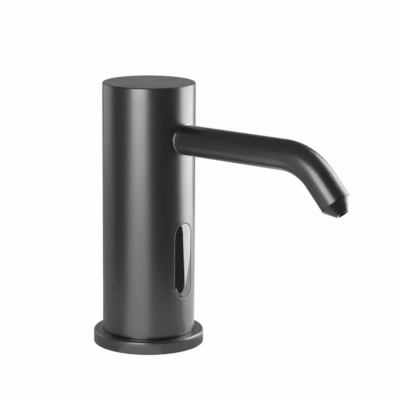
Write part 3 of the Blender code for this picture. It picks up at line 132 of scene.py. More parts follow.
# Spout
SPOUT = 0.0068
SPOUT_BORE = 0.0046
SPOUT_START = 0.02165           # radius of the saddle that meets the collar
SPOUT_END_GAP = 0.00005         # over the cone's shoulder
SPOUT_SQUARE = 0.0270           # first row of points that is square to the tube
COUNTERBORE = 0.0053            # wider seat for the nozzle
COUNTERBORE_DEPTH = 0.0116      # measured up from the tip's face
REACH = 0.0868                  # column's axis to where the two straight axes cross
BEND = radians(48)
BEND_RADIUS = 0.0250
DROP = 0.0290                   # crossing of the axes to the tip's face
COLLAR = 0.0071
COLLAR_THICKNESS = 0.0005
COLLAR_EDGE = 0.00018
COLLAR_GAP = 0.0001

# Nozzle, measured up from the tip's face
CONE = 0.0051
TIP_FACE = 0.00295
TIP_END = 0.0095
TIP_THREAD = 0.0050
TIP_CHAMFER = 0.0003
TIP_GROOVE = 0.0080             # middle of the groove for the sealing ring
TIP_GROOVE_HALF = 0.00085
TIP_GROOVE_DEPTH = 0.0014
CHAMBER = 0.0028
OUTLET = 0.0015
OUTLET_MOUTH = 0.00276          # countersunk at the tip's face
MOUTH_DEPTH = 0.0010
OUTLET_LENGTH = 0.0018
SPRING = 0.0019
SPRING_WIRE = 0.00022
SPRING_LOW = 0.00232
SPRING_HIGH = 0.00498
SPRING_TURNS = 3.5

# Directions and places
DOWN = Vector((0, -cos(BEND), -sin(BEND)))
TIP = Vector((0, -REACH, SPOUT_Z)) + DOWN * DROP
ALONG_DROP = Matrix.Translation(TIP) @ Matrix.Rotation(BEND - pi / 2, 4, "X")
FACING_FRONT = Matrix.Rotation(pi / 2, 4, "X")
FACING_BACK = Matrix.Rotation(-pi / 2, 4, "X")

# Camera
CAMERA = Vector((-0.61102, -0.51778, 0.23655))
CAMERA_TILT = radians(77.971)
CAMERA_HEADING = radians(-51.387)
CAMERA_ROLL = radians(0.435)
CAMERA_LENS = 162.03            # millimetres
CAMERA_SENSOR = 36              # millimetres
CAMERA_CLIP = 0.05

# Surfaces
NOISE_PLACE = (0.37, 0.61, 0.43)    # keeps flat faces off the noise's lattice planes
MIDDLE_RANGE = (0.3, 0.7)       # the part of a source's range that is spread
RANGE_SOCKETS = ("From Min", "From Max", "To Min", "To Max")
COPPER_BANDS = 900              # scale of the winding's bands
BOARD_CELLS = 700               # scale of the board's cells

# Backdrop and floor, as shares of white
BACKDROP_IN_METAL = 0.2         # what metal and glass mirror of the backdrop, at the horizon
ROOM = 0.05                     # what they mirror of the dim room above it
CEILING = 0.12
HORIZON = (0.1, 0.4)            # upward part of a direction, while the mirrored backdrop fades
ROOM_RISE = (0.3, 0.9)          # the same, while the room brightens to the ceiling
FLOOR_IN_METAL = 0.2
FLOOR_TO_CAMERA = 0.985         # the rest of the floor takes light and the object's shadow
FLOOR_GREY = 0.5                # how pale that rest is
FLOOR_SIZE = 3
FLOOR_GAP = 0.0001              # from the foot down to the floor

# Lamps and cards, by the light that comes from them, where a white sheet gives 1
FRONT = 3.15
RIGHT = 3.45
RIGHT_SOFT = 0.9
LEFT = 0.74
BRIGHT_FLOOR = 3.4
FRONT_SHEET = 0.85
NEAR_SHEET = 0.6
LEFT_SHEET = 0.8
RIGHT_SHEET = 1.3
LENS_SHEET = 0.95
BACK = 0.38
DARK = 0.06
GREY = 0.1
AWAY = 0.50                     # from the column's axis to the lamps and the large cards
NEAR = 0.15                     # from the column's axis to the small dark card
LOW_CARD = 0.0004               # heights of the cards that lie on the floor, one over the other
MIDDLE_CARD = 0.0008
TOP_CARD = 0.0012

# Outlines on the floor, as (bearing, distance) corners of the shapes that the lens mirrors
BRIGHT_OUTLINE = ((97.4, 0.119), (96.1, 0.140), (94.9, 0.173), (93.4, 0.209), (92.5, 0.231),
                  (89.9, 0.252), (83.5, 0.50), (128, 0.60), (136, 0.32), (126.9, 0.187),
                  (117.9, 0.168), (107.4, 0.141))
DARK_OUTLINE = ((4, 0.150), (24, 0.140), (45, 0.115), (62, 0.119), (68.8, 0.123),
                (70.9, 0.116), (73.4, 0.112), (76.9, 0.110), (81.1, 0.110), (87.3, 0.112),
                (91.2, 0.117), (94.2, 0.124), (95.4, 0.133), (96.2, 0.142), (98, 0.170),
                (98, 0.49), (66, 0.49), (35, 0.49), (4, 0.49))
LENS_OUTLINE = ((62, 0.098), (62, 0.130), (84, 0.125), (84, 0.098))

# Smoothness
STEPS = 160                     # sides of the column
ROWS_ABOVE = range(114, 62, -3)     # heights in millimetres, which keep its tall faces short
ROWS_BELOW = (18, 15, 12)
WINDOW_SIDES = 10               # column sides on each side of the window's middle
WINDOW_ROWS = 36
WINDOW_ROUND_STEPS = 40         # steps round each end of the window
WINDOW_STRAIGHT_STEPS = 16      # steps along each side of it
FOOT_STEPS = 192
SPOUT_SIDES = 72
SPOUT_ROWS = 8                  # rows along its straight part
BEND_STEPS = 28
SPRING_STEPS = 32               # steps in each turn
CRISP = radians(32)             # edges that turn by more than this stay crisp
NEARLY = 0.98                   # a side's middle lies a little inside its circle
SAME_PLACE = 1e-7               # points this close are one


def arc(centre_radius, centre_height, size, start, end, steps):
    """Points of a rounded corner in a profile, between two angles from the outward direction."""
    angles = [radians(start + (end - start) * i / steps) for i in range(steps + 1)]
    return [(centre_radius + size * cos(a), centre_height + size * sin(a)) for a in angles]


def spun(profile, steps=96):
    """A mesh turned about Z from (radius, height) points.

    The profile is closed to a ring unless both of its ends lie on the axis.
    """
    bm = bmesh.new()
    verts = [bm.verts.new((radius, 0, height)) for radius, height in profile]
    if profile[0][0] > 0 or profile[-1][0] > 0:
        verts.append(verts[0])
    edges = [bm.edges.new(pair) for pair in zip(verts, verts[1:])]
    bmesh.ops.spin(bm, geom=list(bm.verts) + edges, cent=(0, 0, 0), axis=(0, 0, 1), angle=2 * pi,
                   steps=steps, use_merge=True)
    bmesh.ops.remove_doubles(bm, verts=bm.verts, dist=SAME_PLACE)
    bmesh.ops.recalc_face_normals(bm, faces=bm.faces)
    return bm


def bored(bm, *cutters):
    """The mesh with each cutter's shape taken out of it."""
    mesh = bpy.data.meshes.new("blank")
    bm.to_mesh(mesh)
    bm.free()
    blank = bpy.data.objects.new("blank", mesh)
    bpy.context.scene.collection.objects.link(blank)
    tools = []
    for cutter in cutters:
        shape = bpy.data.meshes.new("tool")
        cutter.to_mesh(shape)
        cutter.free()
        tool = bpy.data.objects.new("tool", shape)
        bpy.context.scene.collection.objects.link(tool)
        step = blank.modifiers.new("bore", "BOOLEAN")
        step.operation = "DIFFERENCE"
        step.solver = "EXACT"
        step.object = tool
        tools.append(tool)
    view = bpy.context.evaluated_depsgraph_get()
    result = bmesh.new()
    result.from_object(blank, view)
    for obj in (blank, *tools):
        shape = obj.data
        bpy.data.objects.remove(obj)
        bpy.data.meshes.remove(shape)
    return result


def drill(radius, low, high, at, turn=None, mouth=0, sides=48):
    """A round cutter from low up to high, turned and set down at a point.

    A mouth chamfers the hole's edge at 0 by that much.
    """
    profile = [(0, low), (radius, low), (radius, high), (0, high)]
    if mouth:
        wide = radius + mouth
        profile = [(0, low), (wide, low), (wide, 0), (radius, mouth), (radius, high), (0, high)]
    bm = spun(profile, sides)
    if turn is not None:
        bm.transform(turn)
    bmesh.ops.translate(bm, verts=bm.verts, vec=at)
    return bm


def piece(name, bm, body, finish, node, at=None):
    """Makes a mesh a piece that rides on a body and stands for a node of the model."""
    if at is not None:
        bm.transform(at)
    mesh = bpy.data.meshes.new(name)
    bm.to_mesh(mesh)
    bm.free()
    mesh.shade_smooth()
    mesh.set_sharp_from_angle(angle=CRISP)
    mesh.materials.append(finish)
    obj = bpy.data.objects.new(name, mesh)
    bpy.context.scene.collection.objects.link(obj)
    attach(obj, body)
    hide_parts(node)
    return obj


def edges_of(geom):
    """The edges in what an operator gives back."""
    return [g for g in geom if isinstance(g, bmesh.types.BMEdge)]


def verts_of(geom):
    """The points in what an operator gives back."""
    return [g for g in geom if isinstance(g, bmesh.types.BMVert)]


def round_window(section):
    """A section of (offset from the window's edge, depth) carried round its outline, laid flat."""
    bm = bmesh.new()
    half = WINDOW_STRAIGHT / 2
    length = WINDOW_STRAIGHT / WINDOW_STRAIGHT_STEPS
    verts = [bm.verts.new((WINDOW_END + offset, half, -depth)) for offset, depth in section]
    loop = verts + [bm.edges.new(pair) for pair in zip(verts, verts[1:])]
    for side in (1, -1):
        loop = bmesh.ops.spin(bm, geom=loop, cent=(0, side * half, 0), axis=(0, 0, 1), angle=pi,
                              steps=WINDOW_ROUND_STEPS)["geom_last"]
        for _ in range(WINDOW_STRAIGHT_STEPS):
            run = bmesh.ops.extrude_edge_only(bm, edges=edges_of(loop))
            loop = [g for g in run["geom"] if not isinstance(g, bmesh.types.BMFace)]
            bmesh.ops.translate(bm, verts=verts_of(loop), vec=(0, -side * length, 0))
    bmesh.ops.remove_doubles(bm, verts=bm.verts, dist=SAME_PLACE)
    return bm


def onto_column(bm):
    """Wraps flat work round the column.

    x stays, y becomes the height over the window's middle, and z stands off from the surface.
    """
    for v in bm.verts:
        x, y, z = v.co
        v.co = (x, -sqrt((COLUMN + z) ** 2 - x * x), WINDOW_Z + y)
    return bm


def column_mesh():
    """The column's tube with its cap, the window's rounded rim, and two holes in the wall."""
    edge = sin(2 * pi * WINDOW_SIDES / STEPS)
    half = WINDOW_STRAIGHT / 2 + COLUMN * edge
    rows = [WINDOW_Z + half - 2 * half * i / WINDOW_ROWS for i in range(WINDOW_ROWS + 1)]
    bore = COLUMN - COLUMN_WALL
    profile = [(0, COLUMN_TOP), (COLUMN * 0.5, COLUMN_TOP), (COLUMN * 0.85, COLUMN_TOP)]
    profile += arc(COLUMN - COLUMN_EDGE, COLUMN_TOP - COLUMN_EDGE, COLUMN_EDGE, 90, 0, 6)
    profile += [(COLUMN, z / 1000) for z in ROWS_ABOVE]
    profile += [(COLUMN, z) for z in rows]
    profile += [(COLUMN, z / 1000) for z in ROWS_BELOW]
    profile += [(COLUMN, COLUMN_FOOT + BEVEL), (COLUMN - BEVEL, COLUMN_FOOT), (bore, COLUMN_FOOT)]
    profile += [(bore, z) for z in reversed(rows)]
    profile += [(bore, COLUMN_TOP - COLUMN_CAP), (0, COLUMN_TOP - COLUMN_CAP)]
    bm = spun(profile, STEPS)
    window = []
    for face in bm.faces:
        x, y, z = face.calc_center_median()
        radius = sqrt(x * x + y * y)
        beside = abs(x) < edge * radius and abs(z - WINDOW_Z) < half
        if y < 0 and beside and radius > bore * NEARLY:
            window.append(face)
    bmesh.ops.delete(bm, geom=window, context="FACES")
    opening = [e for e in bm.edges if e.is_boundary]
    corner = [(WINDOW_ROUND * (1 - sin(radians(a))), WINDOW_ROUND * (1 - cos(radians(a))))
              for a in (0, 22.5, 45, 67.5, 90)]
    band = onto_column(round_window([(BAND, 0), (BAND_ROW, 0), *corner, (0, COLUMN_WALL)]))
    mesh = bpy.data.meshes.new("rim")
    band.to_mesh(mesh)
    band.free()
    bm.from_mesh(mesh)
    bpy.data.meshes.remove(mesh)
    known = set(opening)
    rim = [e for e in bm.edges if e.is_boundary and e not in known]
    middle = (COLUMN + bore) / 2
    for outer in (True, False):
        loops = [e for e in opening + rim
                 if all((v.co.xy.length > middle) == outer for v in e.verts)]
        bmesh.ops.bridge_loops(bm, edges=loops)
    bmesh.ops.recalc_face_normals(bm, faces=bm.faces)
    spout = drill(SPOUT_HOLE, 0, HOLE_LENGTH, (0, -HOLE_INSIDE, SPOUT_Z), FACING_FRONT, sides=64)
    grub = drill(GRUB_HOLE, 0, HOLE_LENGTH, (0, HOLE_INSIDE, GRUB_Z), FACING_BACK)
    return bored(bm, spout, grub)


def foot_mesh():
    """The foot: flange with its rounded edge, spigot with the ring's groove, bored floor."""
    groove = SPIGOT - GROOVE_DEPTH
    profile = [(0, FLOOR_TOP), (SPIGOT_INNER, FLOOR_TOP), (SPIGOT_INNER, SPIGOT_TOP - BEVEL),
               (SPIGOT_INNER + BEVEL, SPIGOT_TOP), (SPIGOT - SPIGOT_CHAMFER, SPIGOT_TOP),
               (SPIGOT, SPIGOT_TOP - SPIGOT_CHAMFER), (SPIGOT, GROOVE_TOP), (groove, GROOVE_TOP),
               (groove, GROOVE_BOTTOM), (SPIGOT, GROOVE_BOTTOM), (SPIGOT, FOOT_TOP)]
    profile += arc(FOOT - FOOT_EDGE, FOOT_TOP - FOOT_EDGE, FOOT_EDGE, 90, 0, 8)
    profile += [(FOOT, FINE_BEVEL), (FOOT - 0.3 * FINE_BEVEL, 0.3 * FINE_BEVEL),
                (FOOT - FINE_BEVEL, 0), (FOOT_SKIRT, 0), (FOOT_SKIRT, FOOT_SEAT)]
    profile += [(FOOT_DISC, FOOT_SEAT), (FOOT_DISC, BEVEL), (FOOT_DISC - BEVEL, 0), (0, 0)]
    studs = [Vector((0, y, 0)) for y in (-STUD_OFFSET, STUD_OFFSET)]
    screws = [Vector((x, x, 0)) for x in (-SCREW_OFFSET, SCREW_OFFSET)]
    holes = [drill(STUD_HOLE, UNDER, STUD_DEPTH, at, mouth=STUD_MOUTH) for at in studs]
    holes += [drill(SCREW_HOLE, SCREW_END, OVER, at, sides=32) for at in screws]
    holes += [drill(SUPPLY_HOLE, UNDER, OVER, SUPPLY, mouth=HOLE_MOUTH),
              drill(GLAND_HOLE, UNDER, OVER, GLAND, mouth=HOLE_MOUTH),
              drill(GRUB_HOLE, 0, GRUB_SEAT_LENGTH, (0, GRUB_SEAT, GRUB_Z), FACING_BACK)]
    return bored(spun(profile, FOOT_STEPS), *holes)


def drawn(bm, loop, steps):
    """Draws a loop of edges out by each step in turn and gives the last loop."""
    for step in steps:
        run = bmesh.ops.extrude_edge_only(bm, edges=loop)
        moved = set(verts_of(run["geom"]))
        bmesh.ops.translate(bm, verts=list(moved), vec=step)
        loop = [e for e in edges_of(run["geom"]) if all(v in moved for v in e.verts)]
    return loop


def tube_wall(bm, radius, saddle, end):
    """One wall of the spout, from a saddle on the column to a distance above the tip's face."""
    made = bmesh.ops.create_circle(bm, segments=SPOUT_SIDES, radius=radius, matrix=FACING_FRONT)
    for v in made["verts"]:
        v.co.y = -sqrt(saddle ** 2 - v.co.x ** 2)
        v.co.z += SPOUT_Z
    first = list({e for v in made["verts"] for e in v.link_edges})
    bend_start = REACH - BEND_RADIUS * tan(BEND / 2)
    loop = drawn(bm, first, [(0, saddle - SPOUT_SQUARE, 0)])
    for v in {v for e in loop for v in e.verts}:
        v.co.y = -SPOUT_SQUARE
    loop = drawn(bm, loop, [(0, (SPOUT_SQUARE - bend_start) / SPOUT_ROWS, 0)] * SPOUT_ROWS)
    verts = list({v for e in loop for v in e.verts})
    turned = bmesh.ops.spin(bm, geom=verts + loop, cent=(0, -bend_start, SPOUT_Z - BEND_RADIUS),
                            axis=(1, 0, 0), angle=BEND, steps=BEND_STEPS)
    loop = edges_of(turned["geom_last"])
    centre = sum((v.co for e in loop for v in e.verts), Vector()) / (2 * len(loop))
    run = TIP - DOWN * end - centre
    return first, drawn(bm, loop, [run / 2, run / 2])


def spout_mesh():
    """The spout's tube round the bend, with its bore and the wider seat for the nozzle."""
    bm = bmesh.new()
    end = CONE + SPOUT_END_GAP
    outer_first, outer_last = tube_wall(bm, SPOUT, SPOUT_START, end)
    inner_first, inner_last = tube_wall(bm, SPOUT_BORE, SPOUT_START, COUNTERBORE_DEPTH)
    bmesh.ops.bridge_loops(bm, edges=outer_first + inner_first)
    place = ALONG_DROP @ Matrix.Translation((0, 0, COUNTERBORE_DEPTH))
    seat = bmesh.ops.create_circle(bm, segments=SPOUT_SIDES, radius=COUNTERBORE, matrix=place)
    ring = list({e for v in seat["verts"] for e in v.link_edges})
    bmesh.ops.bridge_loops(bm, edges=inner_last + ring)
    ring = drawn(bm, ring, [DOWN * (COUNTERBORE_DEPTH - end)])
    bmesh.ops.bridge_loops(bm, edges=outer_last + ring)
    bmesh.ops.recalc_face_normals(bm, faces=bm.faces)
    return bm


def collar_mesh():
    """The thin collar between spout and column, curved to the column."""
    edge = arc(COLLAR - COLLAR_EDGE, COLLAR_THICKNESS - COLLAR_EDGE, COLLAR_EDGE, 0, 90, 4)
    bm = spun([(SPOUT_HOLE, 0), (COLLAR, 0), *edge, (SPOUT_HOLE, COLLAR_THICKNESS)])
    for v in bm.verts:
        x, y, z = v.co
        v.co = (x, -sqrt((COLUMN + COLLAR_GAP + z) ** 2 - x * x), SPOUT_Z + y)
    bmesh.ops.recalc_face_normals(bm, faces=bm.faces)
    return bm


def tip_mesh():
    """The nozzle's conical tip, along the drop's axis."""
    fine = FINE_BEVEL
    groove = TIP_THREAD - TIP_GROOVE_DEPTH
    top = TIP_GROOVE + TIP_GROOVE_HALF
    foot = TIP_GROOVE - TIP_GROOVE_HALF
    thread = [(CHAMBER, TIP_END), (TIP_THREAD - TIP_CHAMFER, TIP_END),
              (TIP_THREAD, TIP_END - TIP_CHAMFER), (TIP_THREAD, top), (groove, top),
              (groove, foot), (TIP_THREAD, foot), (TIP_THREAD, CONE)]
    shoulder = [(SPOUT - 1.2 * fine, CONE), (SPOUT, CONE - fine), (SPOUT, CONE - 1.8 * fine)]
    face = [(TIP_FACE + fine, 0.8 * fine), (TIP_FACE, 0.2 * fine), (TIP_FACE - fine, 0)]
    outlet = [(OUTLET_MOUTH, 0), (OUTLET_MOUTH - 1.5 * fine, 0.7 * fine), (OUTLET, MOUTH_DEPTH),
              (OUTLET, OUTLET_LENGTH), (CHAMBER, OUTLET_LENGTH)]
    return spun(thread + shoulder + face + outlet)


def lens_mesh():
    """The lens: a smooth face curved with the column, a rounded rim, and its side and back."""
    across = WINDOW_END - LENS_GAP - LENS_ROUND
    rim = [(-LENS_GAP - LENS_ROUND * (1 - cos(radians(a))),
            LENS_RECESS + LENS_ROUND * (1 - sin(radians(a)))) for a in (0, 18, 36, 54, 72, 90)]
    face = [(-LENS_GAP - LENS_ROUND - across * i / 5, LENS_RECESS) for i in range(1, 6)]
    back = [(-WINDOW_END, LENS_BACK), (-LENS_GAP, LENS_BACK)]
    bm = onto_column(round_window([*back, *rim, *face]))
    bmesh.ops.recalc_face_normals(bm, faces=bm.faces)
    return bm


def grub_mesh():
    """The grub screw behind the foot, with its hexagon key hole."""
    profile = [(0, GRUB_LENGTH), (GRUB - GRUB_CHAMFER, GRUB_LENGTH),
               (GRUB, GRUB_LENGTH - GRUB_CHAMFER), (GRUB, BEVEL), (GRUB - BEVEL, 0), (0, 0)]
    key = bmesh.new()
    bmesh.ops.create_cone(key, cap_ends=True, segments=6, radius1=KEY, radius2=KEY_END,
                          depth=2 * KEY_DEPTH)
    bm = bored(spun(profile, 64), key)
    bm.transform(Matrix.Translation((0, COLUMN - GRUB_SUNK, GRUB_Z)) @ FACING_FRONT)
    return bm


def connector_mesh():
    """The push-in connector in the floor, as (radius, height) points."""
    nipple = [(0.0010, 0.0158), (0.0014, 0.0158), (0.0017, 0.0152), (0.0017, 0.0103)]
    flange = [(0.0052, 0.0103), (0.0052, 0.0083), (0.0042, 0.0083)]
    socket = [(0.0042, 0.0010), (0.0040, 0.0008), (0.0036, 0.0008), (0.0036, 0.0012)]
    release_ring = [(0.0035, 0.0012), (0.0035, 0.0008), (0.0033, 0.0008), (0.0031, 0.0011)]
    web = [(0.0031, 0.0064), (0.0010, 0.0064)]
    return spun(nipple + flange + socket + release_ring + web, 72)


def gland_mesh():
    """The lead's rubber gland, as (radius, height) points."""
    flange = [(0.0018, 0.0099), (0.0043, 0.0099), (0.0045, 0.0097), (0.0045, 0.0083)]
    sleeve = [(0.0030, 0.0083), (0.0030, 0.0011)]
    outer_lip = [(0.0028, 0.0008), (0.0024, 0.0008), (0.0022, 0.0011)]
    inner_lip = [(0.0020, 0.0008), (0.0018, 0.0010)]
    return spun(flange + sleeve + outer_lip + inner_lip, 64)


def gasket_mesh():
    """The deck gasket under the rim."""
    inner = FOOT_DISC + GASKET_GAP
    outer = FOOT - GASKET_GAP
    return spun([(inner, 0), (outer - FINE_BEVEL, 0), (outer, FINE_BEVEL),
                 (outer, GASKET_TOP - FINE_BEVEL), (outer - FINE_BEVEL, GASKET_TOP),
                 (inner, GASKET_TOP)], FOOT_STEPS)


def spring_mesh():
    """The valve's closing spring, a round wire wound in a helix."""
    bm = bmesh.new()
    place = Matrix.Translation((SPRING, 0, SPRING_LOW)) @ FACING_FRONT
    made = bmesh.ops.create_circle(bm, cap_ends=True, segments=12, radius=SPRING_WIRE, matrix=place)
    edges = list({e for v in made["verts"] for e in v.link_edges})
    steps = int(SPRING_TURNS * SPRING_STEPS)
    rise = (SPRING_HIGH - SPRING_LOW) / steps
    last = bmesh.ops.spin(bm, geom=made["verts"] + edges, cent=(0, 0, 0), axis=(0, 0, 1),
                          dvec=(0, 0, rise), angle=2 * pi * SPRING_TURNS, steps=steps)["geom_last"]
    bmesh.ops.holes_fill(bm, edges=edges_of(last))
    bmesh.ops.recalc_face_normals(bm, faces=bm.faces)
    return bm


class Finish:
    """A procedural material: a Principled shader on Object coordinates."""

    def __init__(self, name, colour, roughness, metallic=0.0, **sockets):
        self.material = bpy.data.materials.new(name)
        self.material.use_nodes = True
        self.nodes = self.material.node_tree.nodes
        self.links = self.material.node_tree.links
        self.shader = self.nodes["Principled BSDF"]
        self.colour = colour
        self.roughness = roughness
        self.set("Base Color", (*colour, 1))
        self.set("Roughness", roughness)
        self.set("Metallic", metallic)
        for socket, value in sockets.items():
            self.set(socket.replace("_", " "), value)

    def set(self, socket, value):
        """Sets one value of the shader that is the same all over."""
        self.shader.inputs[socket].default_value = value

    def node(self, kind, **values):
        """A node of a kind, with its properties set."""
        made = self.nodes.new("ShaderNode" + kind)
        for key, value in values.items():
            setattr(made, key, value)
        return made

    def noise(self, size, stretch=(1, 1, 1), detail=3.0):
        """Noise with spots of about a size, drawn out along an axis by a stretch above 1."""
        place = self.node("TexCoord")
        scale = self.node("Mapping")
        scale.inputs["Scale"].default_value = [1 / (size * s) for s in stretch]
        scale.inputs["Location"].default_value = NOISE_PLACE
        noise = self.node("TexNoise")
        noise.inputs["Scale"].default_value = 1
        noise.inputs["Detail"].default_value = detail
        self.links.new(place.outputs["Object"], scale.inputs["Vector"])
        self.links.new(scale.outputs["Vector"], noise.inputs["Vector"])
        return noise.outputs["Fac"]

    def pattern(self, kind, scale, output, **values):
        """One output of another texture, by its scale."""
        place = self.node("TexCoord")
        made = self.node(kind, **values)
        made.inputs["Scale"].default_value = scale
        self.links.new(place.outputs["Object"], made.inputs["Vector"])
        return made.outputs[output]

    def spread(self, source, low, high):
        """A source's middle range spread between two values."""
        reach = self.node("MapRange")
        for socket, value in zip(RANGE_SOCKETS, (*MIDDLE_RANGE, low, high)):
            reach.inputs[socket].default_value = value
        self.links.new(source, reach.inputs["Value"])
        return reach.outputs["Result"]

    def rough(self, source, spread):
        """Lets a source vary the roughness by a spread each way."""
        self.links.new(self.spread(source, self.roughness - spread, self.roughness + spread),
                       self.shader.inputs["Roughness"])
        return self

    def tint(self, source, spread):
        """Lets a source darken and lighten the colour by a share each way."""
        mix = self.node("Mix", data_type="RGBA")
        for side, share in (("A", 1 - spread), ("B", 1 + spread)):
            for socket in mix.inputs:
                if socket.name == side and socket.type == "RGBA":
                    socket.default_value = (*[min(c * share, 1) for c in self.colour], 1)
        self.links.new(self.spread(source, 0, 1), mix.inputs[0])
        result = [socket for socket in mix.outputs if socket.type == "RGBA"][0]
        self.links.new(result, self.shader.inputs["Base Color"])
        return self

    def relief(self, source, height):
        """Lets a source raise the surface by up to a height."""
        bump = self.node("Bump")
        bump.inputs["Strength"].default_value = 1
        bump.inputs["Distance"].default_value = height
        self.links.new(source, bump.inputs["Height"])
        self.links.new(bump.outputs["Normal"], self.shader.inputs["Normal"])
        return self


def finishes():
    """The object's materials, by the name of the slot that each gives its finish to."""
    made = {}

    def add(slot, *args, **sockets):
        made[slot] = Finish(slot, *args, **sockets)
        return made[slot]

    coat = add("gunmetal_coat", (0.175, 0.175, 0.18), 0.30, 0.92)
    brush = coat.noise(0.00016, (40, 40, 1), 2)
    coat.rough(brush, 0.03).relief(brush, 0.0000015).tint(coat.noise(0.012), 0.02)
    collar = add("collar_metal", (0.42, 0.42, 0.43), 0.26, 1.0)
    collar.rough(collar.noise(0.0004, detail=2), 0.04)
    rubber = add("black_rubber", (0.022, 0.022, 0.023), 0.62)
    rubber.relief(rubber.noise(0.0002), 0.000004).rough(rubber.noise(0.002), 0.06)
    silicone = add("clear_silicone", (0.72, 0.74, 0.73), 0.34, Subsurface_Weight=0.25)
    silicone.set("Subsurface Radius", (0.002, 0.002, 0.002))
    silicone.tint(silicone.noise(0.004), 0.03)
    acetal = add("white_acetal", (0.74, 0.74, 0.71), 0.42, Subsurface_Weight=0.1)
    acetal.set("Subsurface Radius", (0.001, 0.001, 0.001))
    acetal.tint(acetal.noise(0.006), 0.02).relief(acetal.noise(0.0003), 0.000003)
    plastic = add("black_plastic", (0.028, 0.028, 0.03), 0.46)
    plastic.relief(plastic.noise(0.00025), 0.000008).rough(plastic.noise(0.003), 0.04)
    glass = add("smoked_lens", (0.014, 0.014, 0.015), 0.03, IOR=2.3)
    glass.rough(glass.noise(0.006), 0.01)
    steel = add("plain_steel", (0.56, 0.56, 0.57), 0.3, 1.0)
    steel.rough(steel.noise(0.0005, (1, 1, 8)), 0.08).tint(steel.noise(0.003), 0.05)
    brass = add("brass", (0.72, 0.53, 0.26), 0.26, 1.0)
    brass.rough(brass.noise(0.0004, (6, 6, 1)), 0.06).tint(brass.noise(0.003), 0.06)
    bronze = add("sintered_bronze", (0.5, 0.34, 0.2), 0.5, 1.0)
    grain = bronze.noise(0.0002, detail=6)
    bronze.tint(grain, 0.25).relief(grain, 0.00001)
    copper = add("wound_copper", (0.6, 0.27, 0.13), 0.3, 1.0)
    wires = copper.pattern("TexWave", COPPER_BANDS, "Fac", wave_type="BANDS", bands_direction="Z")
    copper.relief(wires, 0.00006).tint(wires, 0.2)
    ferrite = add("ferrite", (0.06, 0.06, 0.064), 0.55)
    grain = ferrite.noise(0.0004, detail=5)
    ferrite.tint(grain, 0.2).relief(grain, 0.00001)
    board = add("circuit_board", (0.015, 0.13, 0.055), 0.3)
    cells = board.pattern("TexVoronoi", BOARD_CELLS, "Distance", feature="DISTANCE_TO_EDGE")
    board.tint(cells, 0.35).relief(cells, 0.00002)
    diode = add("infrared_diode", (0.03, 0.022, 0.045), 0.08, IOR=1.54)
    diode.tint(diode.noise(0.001), 0.2)
    lamp = add("red_lamp", (0.55, 0.025, 0.015), 0.12, IOR=1.54)
    lamp.tint(lamp.noise(0.001), 0.1)
    cable = add("cable_jacket", (0.024, 0.024, 0.026), 0.5)
    cable.relief(cable.noise(0.0004), 0.00001).rough(cable.noise(0.002), 0.05)
    return {slot: made[slot].material for slot in made}


def bearing(angle, distance, height=0.0):
    """A point at a bearing round the column, in degrees to the right of the camera."""
    towards = atan2(CAMERA.y, CAMERA.x) + radians(angle)
    return Vector((distance * cos(towards), distance * sin(towards), height))


def lamp(name, left, right, low, high, radiance):
    """An area lamp between two bearings and two heights, which the camera doesn't see."""
    start, end = bearing(left, AWAY), bearing(right, AWAY)
    light = bpy.data.lights.new(name, "AREA")
    light.shape = "RECTANGLE"
    light.size = (end - start).length
    light.size_y = high - low
    light.energy = radiance * pi * light.size * light.size_y
    obj = bpy.data.objects.new(name, light)
    bpy.context.scene.collection.objects.link(obj)
    middle = (start + end) / 2
    obj.location = middle + Vector((0, 0, (low + high) / 2))
    obj.rotation_euler = (-middle).to_track_quat("-Z", "Y").to_euler()
    obj.visible_camera = False


def card(name, corners, radiance):
    """A flat sheet between (bearing, distance, height) corners, seen only in mirror images."""
    bm = bmesh.new()
    bm.faces.new([bm.verts.new(bearing(*corner)) for corner in corners])
    mesh = bpy.data.meshes.new(name)
    bm.to_mesh(mesh)
    bm.free()
    material = bpy.data.materials.new(name)
    material.use_nodes = True
    nodes = material.node_tree.nodes
    nodes.clear()
    out = nodes.new("ShaderNodeOutputMaterial")
    glow = nodes.new("ShaderNodeEmission")
    glow.inputs["Strength"].default_value = radiance
    material.node_tree.links.new(glow.outputs[0], out.inputs["Surface"])
    mesh.materials.append(material)
    obj = bpy.data.objects.new(name, mesh)
    bpy.context.scene.collection.objects.link(obj)
    obj.visible_camera = False
    obj.visible_shadow = False
    obj.visible_diffuse = False


def upright(name, left, right, distance, low, high, radiance):
    """A card that stands at a distance between two bearings and two heights."""
    card(name, [(left, distance, low), (right, distance, low),
                (right, distance, high), (left, distance, high)], radiance)


def outlined(name, outline, height, radiance):
    """A card that lies at a height, with an outline of (bearing, distance) corners."""
    card(name, [(angle, distance, height) for angle, distance in outline], radiance)


def lying(name, left, right, near, far, radiance):
    """A card that lies on the floor between two bearings and two distances."""
    outline = ((left, near), (left, far), (right, far), (right, near))
    outlined(name, outline, LOW_CARD, radiance)


def seen(nodes, links, direct, mirrored):
    """How much of a surface's white shows: one share to the camera, another in mirror images."""
    path = nodes.new("ShaderNodeLightPath")
    both = nodes.new("ShaderNodeMath")
    both.operation = "MAXIMUM"
    links.new(path.outputs["Is Glossy Ray"], both.inputs[0])
    links.new(path.outputs["Is Transmission Ray"], both.inputs[1])
    mirror = nodes.new("ShaderNodeMath")
    mirror.operation = "MULTIPLY"
    links.new(both.outputs[0], mirror.inputs[0])
    if isinstance(mirrored, float):
        mirror.inputs[1].default_value = mirrored
    else:
        links.new(mirrored, mirror.inputs[1])
    share = nodes.new("ShaderNodeMath")
    share.operation = "MULTIPLY_ADD"
    share.inputs[1].default_value = direct
    links.new(path.outputs["Is Camera Ray"], share.inputs[0])
    links.new(mirror.outputs[0], share.inputs[2])
    return share.outputs[0]


